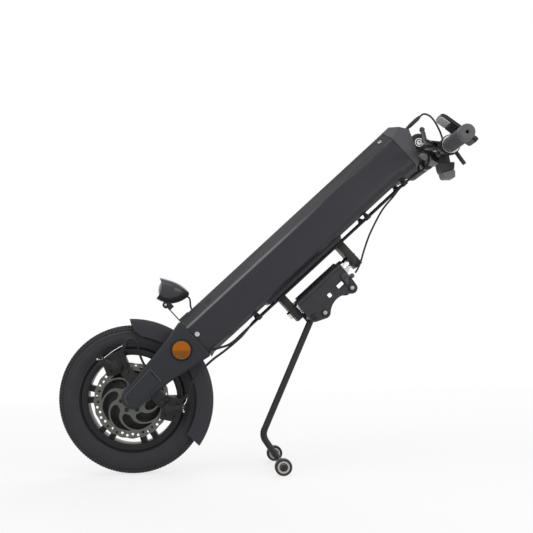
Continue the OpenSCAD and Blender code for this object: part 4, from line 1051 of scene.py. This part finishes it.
def lamp_form():
    """Bullet shell, fuller below than above, with a peak over and under its mouth."""
    steps, mouth_radius = 96, 23.4
    heights = [(0, 23.4, 23.4), (4, 23.3, 25.6), (9, 22.8, 27.4), (16, 21.9, 28.4), (24, 20.4, 28.0),
               (31, 18.6, 26.2), (38, 15.9, 23.4), (44, 12.8, 20.0), (49, 9.6, 16.4), (53, 6.6, 12.8),
               (56, 4.2, 9.6), (58, 2.4, 7.0)]
    mouth = [(4.0, 0.84), (0.8, 0.90), (0.0, 0.94), (-0.2, 0.97), (0.0, 0.995)]
    sections = [(x, mouth_radius * share, mouth_radius * share) for x, share in mouth]
    sections += [tuple(v) for v in smooth_path([(x + 0.6, up, down) for x, up, down in heights], 1.6)]
    sections += [(59.4, 0.6, 5.2), (59.8, -0.6, 3.6)]
    loops = []
    for x, up, down in sections:
        wide = min(23.6, (up + down) / 2)
        middle = (up - down) / 2 * max(0, (x - 30) / 30)
        loop = []
        for k in range(steps):
            lift = math.sin(TAU * k / steps)
            peak = 8.0 * abs(lift) ** 2.2 * max(0, 1 - max(x, 0) / 26) ** 1.6
            high = (up - middle if lift > 0 else down + middle) * lift + middle
            loop.append((x - peak, wide * math.cos(TAU * k / steps), high))
        loops.append(loop)
    bm = bmesh.new()
    loft(bm, loops)
    finished("lamp_bullet", mesh_of(bm, "lamp", LAMP, 0.01), lamp_black, "lamp", "lamp_black",
             ("lamp_shell",), 50)


def round_loops(sections, steps, height=0.0):
    """Circles square to the x axis, by place and radius."""
    return [[(x, r * math.cos(TAU * k / steps), height + r * math.sin(TAU * k / steps)) for k in range(steps)]
            for x, r in sections]


def lamp_fittings():
    """Domed lens in the lamp's mouth, and the tongue that it tilts on."""
    dome = ((4.5, 19.4), (2.2, 19.2), (-0.8, 17.4), (-3.8, 14.0), (-5.8, 9.6), (-6.8, 5.0), (-7.1, 0.6))
    bm = bmesh.new()
    loft(bm, round_loops(dome, 48))
    finished("lamp_glass", mesh_of(bm, "glass", LAMP), lens_clear, "lamp", "lens_clear", ("lamp_lens",), 50)
    tongue = rounded([(-6, -5), (7, -5), (15, 16), (-3, 16)], [5, 5, 2, 2], 4)
    cut("lamp_tongue", tongue, [arc((0, 0), 2.6, 0, 330, 11)], (-7.4, 7.4), 0.8,
        Matrix.Translation(LAMP_PIVOT) @ MM, lamp_black, "lamp", "lamp_black")


lamp_form()
lamp_fittings()


# Grips: ribbed sleeves with a plain collar and an open end plug

def grip_form(side):
    """A sleeve by radius and distance from the middle, and rings of slanted ribs on it."""
    outline = [(BAR_SLEEVE, 105.2), (14.6, 105.2), (15.4, 106.0), (15.6, 108.0), (15.2, 109.6), (14.7, 110.4),
               (14.7, 186.0), (15.2, 187.0), (15.7, 188.4), (15.7, 202.6), (15.2, 204.2), (13.8, 204.9),
               (4.6, 205.0), (3.6, 204.4), (3.2, 203.2), (3.2, 197.0), (BAR_SLEEVE, 197.0)]
    bm = bmesh.new()
    lathe(bm, [(r, side * y) for r, y in outline], 64, closed=True)
    base = mesh_of(bm, "grip", LEVEL_BAR)
    rows = [dict(Count=46, Radius=0.0147, Shift=side * (0.1125 + 0.0042 * k), Phase=0.068 * (k % 2),
                 Size=(0.0015, 0.0032, 0.0013), Lean=0.0, Skew=0.5 if k % 2 else -0.5) for k in range(18)]
    finished("grip_ribbed_" + SIDE_TAG[side], rows_mesh("grip", rows, BAR, grip_rubber, base), grip_rubber,
             "steering_bar", "grip_rubber", ("grips",) if side < 0 else ())


grip_form(-1)
grip_form(1)


# Handlebar fittings
LEVER_PIN = (36, 78)


def lever_form(side):
    """Brake lever: eye on its pin, a crooked shank and a long rounded blade with a ball tip."""
    points = [(31, 74), (33.5, 71.6), (36, 71), (39, 71.8), (41.8, 74.4), (43.2, 78), (44.9, 83.5), (50, 91),
              (55.8, 99), (58.1, 106), (62.1, 116), (73.3, 150), (82.5, 176), (85.6, 182), (86.6, 187),
              (84.6, 190.4), (80.8, 190), (77.1, 186.4), (75.7, 181.6), (74.4, 176), (64.9, 150), (53.8, 118),
              (48.9, 109), (40.6, 100.6), (34.5, 92), (30.4, 85.6), (30, 80)]
    smoothed = smooth_path([(x, y, 0) for x, y in points + points[:1]], 3)[:-1]
    eye = arc((LEVER_PIN[0], side * LEVER_PIN[1]), 2.6, 0, 330, 11)
    node = "brake_lever_" + SIDE_TAG[side]
    cut("lever_forged_" + SIDE_TAG[side], [(p.x, side * p.y) for p in smoothed], [eye], (-4, 4), 1.6,
        FLAT_PERCH, lever_black, NODE_BODY[node], "lever_black", (node,), 40)


def perch_fittings(side):
    """Cable adjuster with its lock ring, and the clamp's pinch bolt."""
    tag = SIDE_TAG[side]
    adjuster = [(0.01, 53.5), (2.9, 53.5), (3.1, 54.2), (3.1, 57.0), (4.6, 57.4), (4.9, 58.0), (4.9, 61.6),
                (4.5, 62.2), (3.9, 62.4), (3.9, 63.0), (5.6, 63.2), (5.8, 63.8), (5.8, 66.6), (5.4, 67.2),
                (3.0, 67.4), (0.01, 67.4)]
    lathed("cable_adjuster_" + tag, [(r, side * y) for r, y in adjuster], 32, PERCH, bolt_dark,
           "steering_bar", "lever_black", closed=False, weld=0.005, centre=(LEVER_PIN[0], 0, 0))
    bolt = [(0.01, 0), (4.2, 0), (4.4, 0.4), (4.4, 3.0), (3.9, 3.6), (2.4, 3.6), (2.2, 2.0), (0.01, 2.0)]
    upright = PERCH @ Matrix.Translation((24, side * 77, 8)) @ rotation(90, "X")
    lathed("pinch_bolt_" + tag, bolt, 24, upright, bolt_bright, "steering_bar", "lever_black", closed=False,
           weld=0.005)


for side in (-1, 1):
    lever_form(side)
    perch_fittings(side)


def throttle_form():
    """Thumb throttle's housing, two rounded rings and a groove, and a bright collar at each end."""
    housing = [(BAR_SLEEVE, -102), (16.0, -102), (17.4, -101.4), (18.0, -100.2), (18.0, -98.4), (17.3, -97.5),
               (16.4, -97.2), (16.4, -92.8), (17.3, -92.5), (18.0, -91.6), (18.0, -89.6), (17.4, -88.6),
               (16.2, -88), (BAR_SLEEVE, -88)]
    lathed("throttle_housing", housing, 64, LEVEL_BAR, throttle_black, "steering_bar", "throttle_black",
           ("throttle_body",))
    collar = [(BAR_SLEEVE, 0), (17.6, 0), (18.2, -0.5), (18.2, -1.7), (17.6, -2.2), (BAR_SLEEVE, -2.2)]
    for tag, at in (("outer", -102.6), ("inner", -85.6)):
        lathed("throttle_collar_" + tag, [(r, at + y) for r, y in collar], 64, LEVEL_BAR, bolt_bright,
               "steering_bar", "bolt_bright")


throttle_form()


# Switch pod: a band on the bar, a neck, a dark upper and a paler lower half, and the display's arm

def pod_form():
    """The pod's two halves: the upper one carries band, neck and arm, the lower one the button's seat."""
    band = [(BAR_SLEEVE, -63.6), (16, -63.6), (16.8, -62.8), (16.8, -45.2), (16, -44.4), (BAR_SLEEVE, -44.4)]
    neck = [(-9, -12), (9, -12), (12, -31), (-12, -31)]
    reach = DISPLAY_REACH.normalized()
    across = Vector((reach.y, -reach.x))
    edge = [(13, 5), (22, 3.4), (33, 3.4), (39.5, 5)]
    arm = [reach * r + across * h for r, h in edge + [(r, -h) for r, h in edge[::-1]]]
    upper = rounded([(-17, -30), (16, -30), (14.4, -44.6), (-10.6, -50.6), (-14, -46)], [3, 3, 1, 1, 4])
    bm = bmesh.new()
    lathe(bm, band, 64, closed=True)
    plate(bm, neck, [], -60, -48, 1.0)
    plate(bm, arm, [], -61, -47, 0.8)
    plate(bm, upper, [], -74, -44.4, 1.4)
    finished("pod_upper", mesh_of(bm, "pod_upper", LEVEL_BAR), throttle_black, "steering_bar", "pod_plastic",
             ("switch_pod",))
    lower = [(-10.4, -51.4), (14.2, -45.4), (16, -48.2), (16, -49.6), (16, -60.4), (13.6, -62.4), (-4, -62.4),
             (-7.4, -60)]
    seat = lower[:4] + [(12.4, -49.6), (12.4, -60.4)] + lower[4:]
    bm = bmesh.new()
    for y0, y1, outline in ((-73.6, -66.5, lower), (-66.5, -51.7, seat), (-51.7, -44.6, lower)):
        plate(bm, outline, [], y0, y1, 0.5)
    finished("pod_lower", mesh_of(bm, "pod_lower", LEVEL_BAR), pod_plastic, "steering_bar", "pod_plastic")


pod_form()


# Pivot bolt: a ringed head with a socket, a nut at the far end, and dark washers on the lugs

def pivot_form():
    """Bolt, nut, the washers on both lugs, and a dark ring in the bolt's head."""
    body = NODE_BODY["pivot_bolt"]
    bolt = [(0.01, 51), (5.4, 51), (5.9, 50.4), (5.9, -45.4), (9.4, -45.6), (9.5, -46.2), (9.5, -51.2),
            (8.9, -51.9), (7.4, -51.9), (7.1, -51.2), (5.6, -51.2), (5.3, -51.8), (3.2, -51.8), (3.0, -51.4),
            (3.0, -48.4), (0.01, -48.4)]
    nut = [on_circle(9.5, 60 * k) for k in range(6)]
    bm = bmesh.new()
    lathe(bm, bolt, 64)
    plate(bm, nut, [arc((0, 0), 5.95, 0, 345, 23)], 46, 51.6, 0.6)
    finished("pivot_bolt_ringed", mesh_of(bm, "pivot", PIVOT, 0.005), bolt_bright, body, "bolt_bright",
             ("pivot_bolt",))
    for tag, side, bore in (("near", -1, 9.8), ("far", 1, 6.2)):
        washer = [(bore, 45), (18.4, 45), (18.6, 45.4), (18.0, 46), (12.4, 46), (11.6, 45.6), (bore, 45.6)]
        lathed("pivot_washer_" + tag, [(r, side * y) for r, y in washer], 64, PIVOT, rim_black, body,
               "cap_black")
    ring = [(5.7, -51.1), (7.0, -51.1), (7.0, -51.5), (5.7, -51.5)]
    lathed("pivot_ring", ring, 48, PIVOT, bolt_dark, body, "bolt_bright")


pivot_form()


# Stem: a waisted web from the pivot's barrel to the bar, with an open window

def stem_form():
    """Barrel on the pivot bolt, and the web that widens to the bar's clamp."""
    barrel = [(6.1, -29.7), (17.6, -29.7), (19, -28.3), (19, 28.3), (17.6, 29.7), (6.1, 29.7)]
    bar_at = (53, 0)
    web = (arc((0, 0), 18.6, 40, 320, 24) + [Vector((24, -9.8)), Vector((30, -10.2))]
           + arc(bar_at, 20, 216, 270, 8) + arc(bar_at, 11.4, 270, 90, 16) + arc(bar_at, 20, 90, 144, 8)
           + [Vector((30, 10.2)), Vector((24, 9.8))])
    bm = bmesh.new()
    lathe(bm, barrel, 64, closed=True)
    plate(bm, web, [arc((0, 0), 6.1, 0, 345, 23), rounded_box(20.5, 29, -5.6, 5.6, 3)], -22, 22, 1.2)
    finished("stem_cast", mesh_of(bm, "stem", STEM), stem_black, "steering_bar", "stem_black", ("stem",))


stem_form()


def connector_form():
    """In-line connector on the control cable: a sleeve that tapers to the cable at both ends."""
    sleeve = ((0, 2.1), (0.4, 2.5), (5, 3.0), (12, 3.7), (13, 4.1), (20, 4.4), (31, 4.4), (38, 4.2),
              (39, 3.6), (42.5, 3.4), (43.6, 2.9), (44, 2.1))
    lower_end, cable_height = 820, 28.5
    bm = bmesh.new()
    loft(bm, round_loops([(lower_end + d, r) for d, r in sleeve], 32, cable_height))
    finished("connector_moulded", mesh_of(bm, "connector", BODY), sleeve_grey, "frame",
             NODE_SLOT["connector_sleeve"], ("connector_sleeve",))


connector_form()


# Display: x runs down its face and y out of it

def display_form():
    """Thin housing with round corners, a bezel, a dark window, a clip, a pale back and three soft keys."""
    case = rounded([(46, 24), (-46, 24), (-46, -24), (46, -24)], [9, 15, 9, 9], 8)
    bm = bmesh.new()
    plate(bm, case, [rounded_box(-42, 24, -20, 20, 3)], -1.8, 0, 0.8)
    plate(bm, drawn_in(case, 0.6), [], -6.4, -1.2, 0.8)
    finished("display_housing", mesh_of(bm, "display", FACE), display_black, "steering_bar", "display_black",
             ("display",))
    clip = rounded([(45, 22), (-19, 22), (-19, -22), (45, -22)], [8, 2, 2, 8], 6)
    cut("display_clip", clip, [], (-9, -6.2), 1.4, FACE, display_black, "steering_bar", "display_black")
    back = rounded([(-20, 21), (-44, 21), (-44, -21), (-20, -21)], [2, 8, 8, 2], 6)
    cut("display_back", back, [], (-8.8, -6.2), 1.4, FACE, display_grey, "steering_bar", "pod_plastic")
    cut("display_pane", rounded_box(-42.4, 24.4, -20.4, 20.4, 3), [], (-1.4, -0.6), 0.2, FACE, display_dark,
        "steering_bar", "display_dark", ("display_glass",))
    for k, height in enumerate((0.48, 0.6, 0.48), 1):
        middle = 13 * (k - 2)
        cut("display_key_%d" % k, rounded_box(29, 38, middle - 4.6, middle + 4.6, 3), [], (-0.6, height),
            0.35, FACE, grip_rubber, "steering_bar", "display_black")


display_form()


# Dock plates: lobes round the bolts, a hollow between them, open windows
DOCK_FROM, DOCK_TO, DOCK_TOP = 392, 515, -92
STAND_PIN = (402, -131)
LATCH_PIN = (505, -112)


def dock_plate(side):
    """One plate with its bolt holes, its windows and its rolled top edge."""
    lower_bolt, upper_bolt = DOCK_BOLTS
    outline = ([Vector((DOCK_FROM, DOCK_TOP))] + arc(STAND_PIN, 12, 165, 248, 6)
               + arc(lower_bolt, 12, 250, 316, 8) + arc((461.5, -176.5), 40.9, 136.5, 43.5, 14)
               + arc(upper_bolt, 12, 224, 352, 12)
               + [Vector((514, -122)), Vector((DOCK_TO, -100)), Vector((DOCK_TO, DOCK_TOP))])
    bores = [(lower_bolt, 4.05), (upper_bolt, 4.05), (STAND_PIN, 5.05)]
    if side < 0:
        bores.append((LATCH_PIN, 3.05))
        windows = [rounded_box(478.5, 494, -125, -113, 4), rounded_box(451, 460, -124, -115, 3)]
    else:
        windows = [rounded_box(488, 508, -128, -115, 4), rounded_box(461, 474, -130, -119, 3)]
    holes = [arc(centre, radius, 0, 330, 11) for centre, radius in bores] + windows
    bm = bmesh.new()
    plate(bm, outline, holes, *sorted((side * 36, side * 40)), 0.8)
    roll_centre = (30.6, -92.2)
    roll = arc(roll_centre, 10.2, 0, 76, 12) + arc(roll_centre, 7.2, 76, 0, 12)
    loft(bm, [[(u, side * p.x, p.y) for p in roll] for u in (DOCK_FROM, 450, DOCK_TO)])
    finished("dock_plate_" + SIDE_TAG[side], mesh_of(bm, "dock_plate", BODY), dock_black, "dock",
             "dock_black", ("dock_plates",) if side < 0 else (), 30)


dock_plate(-1)
dock_plate(1)


# Brake fittings: bolts, cable ends and the bare inner wires

def caliper_fittings(tag, angle, arm_angle, stop_side):
    """Bolts on a caliper's face, a clamp bolt on its arm, and the wire from the cable stop to it."""
    place = BODY @ rotation(-angle) @ Matrix.Translation((80, 0, 0))
    arm_body = tag + "_arm"
    bolt = [(0.01, -61), (4.2, -61), (4.4, -61.5), (4.4, -63.6), (3.8, -64.2), (2.3, -64.2), (2.1, -62.4),
            (0.01, -62.4)]
    bm = bmesh.new()
    for x, z in ((17, 17), (17, -17), (-8, 18), (-8, -18)):
        lathe(bm, bolt, 24, (x, 0, z))
    finished("caliper_bolts_" + tag, mesh_of(bm, "bolts", place, 0.005), bolt_dark, "frame", "caliper_black")
    end = on_circle(30, arm_angle)
    clamp_bolt = [(0.01, -72.2), (5.2, -72.2), (5.4, -72.6), (5.4, -77.0), (4.6, -77.4), (4.4, -79.6),
                  (3.8, -80.2), (2.2, -80.2), (2.0, -78.6), (0.01, -78.6)]
    lathed("wire_clamp_" + tag, clamp_bolt, 24, place, bolt_dark, arm_body, "arm_steel", closed=False,
           weld=0.005, centre=(end.x, 0, end.y))
    stop = Vector((33, -75, stop_side * 35))
    clamp = Vector((end.x, -78, end.y))
    past = clamp + (clamp - stop).normalized() * 9 + Vector((5, 0, 0))
    sag = stop.lerp(clamp, 0.5) + Vector((1.6, 0, 0))
    bm = bmesh.new()
    sweep(bm, smooth_path([stop, sag, clamp, past], 2), 0.75, 10)
    wire = finished("inner_wire_" + tag, mesh_of(bm, "wire", place), wire_steel, None, "arm_steel")
    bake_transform(wire)
    tip = [(0.01, -3.2), (1.3, -3.2), (2.1, -2.4), (2.4, -1.0), (2.4, 1.0), (2.1, 2.4), (1.3, 3.2),
           (0.01, 3.2)]
    lathed("wire_end_" + tag, tip, 20, place, wire_steel, arm_body, "arm_steel", closed=False, weld=0.005,
           centre=tuple(past))


caliper_fittings("front", 70.3, 39, -1)
caliper_fittings("rear", -54, 21, 1)


# Stage: floor, light and the camera at the photograph's place

def shown(tree):
    """One value for the rays that see the plain background: from the camera, by gloss and through glass."""
    path = tree.nodes.new("ShaderNodeLightPath")
    socket = path.outputs["Is Camera Ray"]
    for ray in ("Is Glossy Ray", "Is Transmission Ray"):
        either = tree.nodes.new("ShaderNodeMath")
        either.operation = "MAXIMUM"
        tree.links.new(socket, either.inputs[0])
        tree.links.new(path.outputs[ray], either.inputs[1])
        socket = either.outputs[0]
    return socket


def plain_floor():
    """White floor that keeps the shadow near the machine and fades into the background away from it."""
    f = Finish("floor_white")
    cloud = f.noise(3, 2)
    f.set(Base_Color=f.blend(cloud, (0.90, 0.90, 0.90), (0.93, 0.93, 0.93)), Roughness=0.75)
    x, y, _ = f.split(f.place())
    far = f.node("ShaderNodeMapRange", None, {"Value": (x * x + y * y).root(), "From Min": 0.5,
                                              "From Max": 2.6, "To Min": 0.74, "To Max": 1.0})
    seen = far * Value(f, shown(f.tree))
    glow = f.node("ShaderNodeEmission", None, {"Color": (1, 1, 1), "Strength": 1.0})
    mix = f.node("ShaderNodeMixShader")
    for key, source in ((0, seen.socket), (1, f.shader.outputs[0]), (2, glow.socket)):
        f.tree.links.new(source, mix.socket.node.inputs[key])
    f.tree.links.new(mix.socket, f.tree.nodes["Material Output"].inputs["Surface"])
    return f.material


bm = bmesh.new()
bmesh.ops.create_grid(bm, x_segments=8, y_segments=8, size=30)
floor = bpy.data.objects.new("floor", mesh_of(bm, "floor"))
floor.data.materials.append(plain_floor())
bpy.context.scene.collection.objects.link(floor)

world = bpy.data.worlds.new("studio")
bpy.context.scene.world = world
world.use_nodes = True
tree = world.node_tree
backdrop = tree.nodes["Background"]
backdrop.inputs["Color"].default_value = (1, 1, 1, 1)
level = tree.nodes.new("ShaderNodeMapRange")
level.inputs["To Min"].default_value = 0.40
level.inputs["To Max"].default_value = 1.0
tree.links.new(shown(tree), level.inputs["Value"])
tree.links.new(level.outputs["Result"], backdrop.inputs["Strength"])


def softbox(name, place, aim, size, power):
    """An area light at a place, turned towards a point."""
    light = bpy.data.lights.new(name, "AREA")
    light.shape = "RECTANGLE"
    light.size, light.size_y = size
    light.energy = power
    lamp = bpy.data.objects.new(name, light)
    lamp.location = place
    lamp.rotation_euler = (Vector(aim) - Vector(place)).to_track_quat("-Z", "Y").to_euler()
    bpy.context.scene.collection.objects.link(lamp)


softbox("overhead", (-0.7, -0.5, 2.3), (-0.2, 0.0, 0.3), (2.2, 1.2), 15)
softbox("key", (-1.7, -2.2, 1.7), (0.0, 0.0, 0.3), (1.8, 1.6), 16)
softbox("fill", (1.5, -1.7, 1.0), (0.2, 0.0, 0.5), (1.4, 1.4), 15)
softbox("rim_light", (0.8, 2.0, 1.9), (0.0, 0.0, 0.4), (2.0, 1.2), 22)

CAMERA_PLACE = Vector((AXLE.x + 0.1476, -1.75, 0.287))
CAMERA_ROLL = math.radians(2)

camera_data = bpy.data.cameras.new("photo_camera")
camera_data.sensor_width = 36
camera_data.lens = 54.97
camera_data.shift_x = 0.1248
camera_data.shift_y = 0.1323
camera = bpy.data.objects.new("photo_camera", camera_data)
right = Vector((math.cos(CAMERA_ROLL), 0, -math.sin(CAMERA_ROLL)))
up = Vector((math.sin(CAMERA_ROLL), 0, math.cos(CAMERA_ROLL)))
back = Vector((0, -1, 0))
camera.matrix_world = Matrix.Translation(CAMERA_PLACE) @ Matrix((right, up, back)).transposed().to_4x4()
bpy.context.scene.collection.objects.link(camera)
bpy.context.scene.camera = camera
bpy.context.scene.view_settings.view_transform = "Standard"
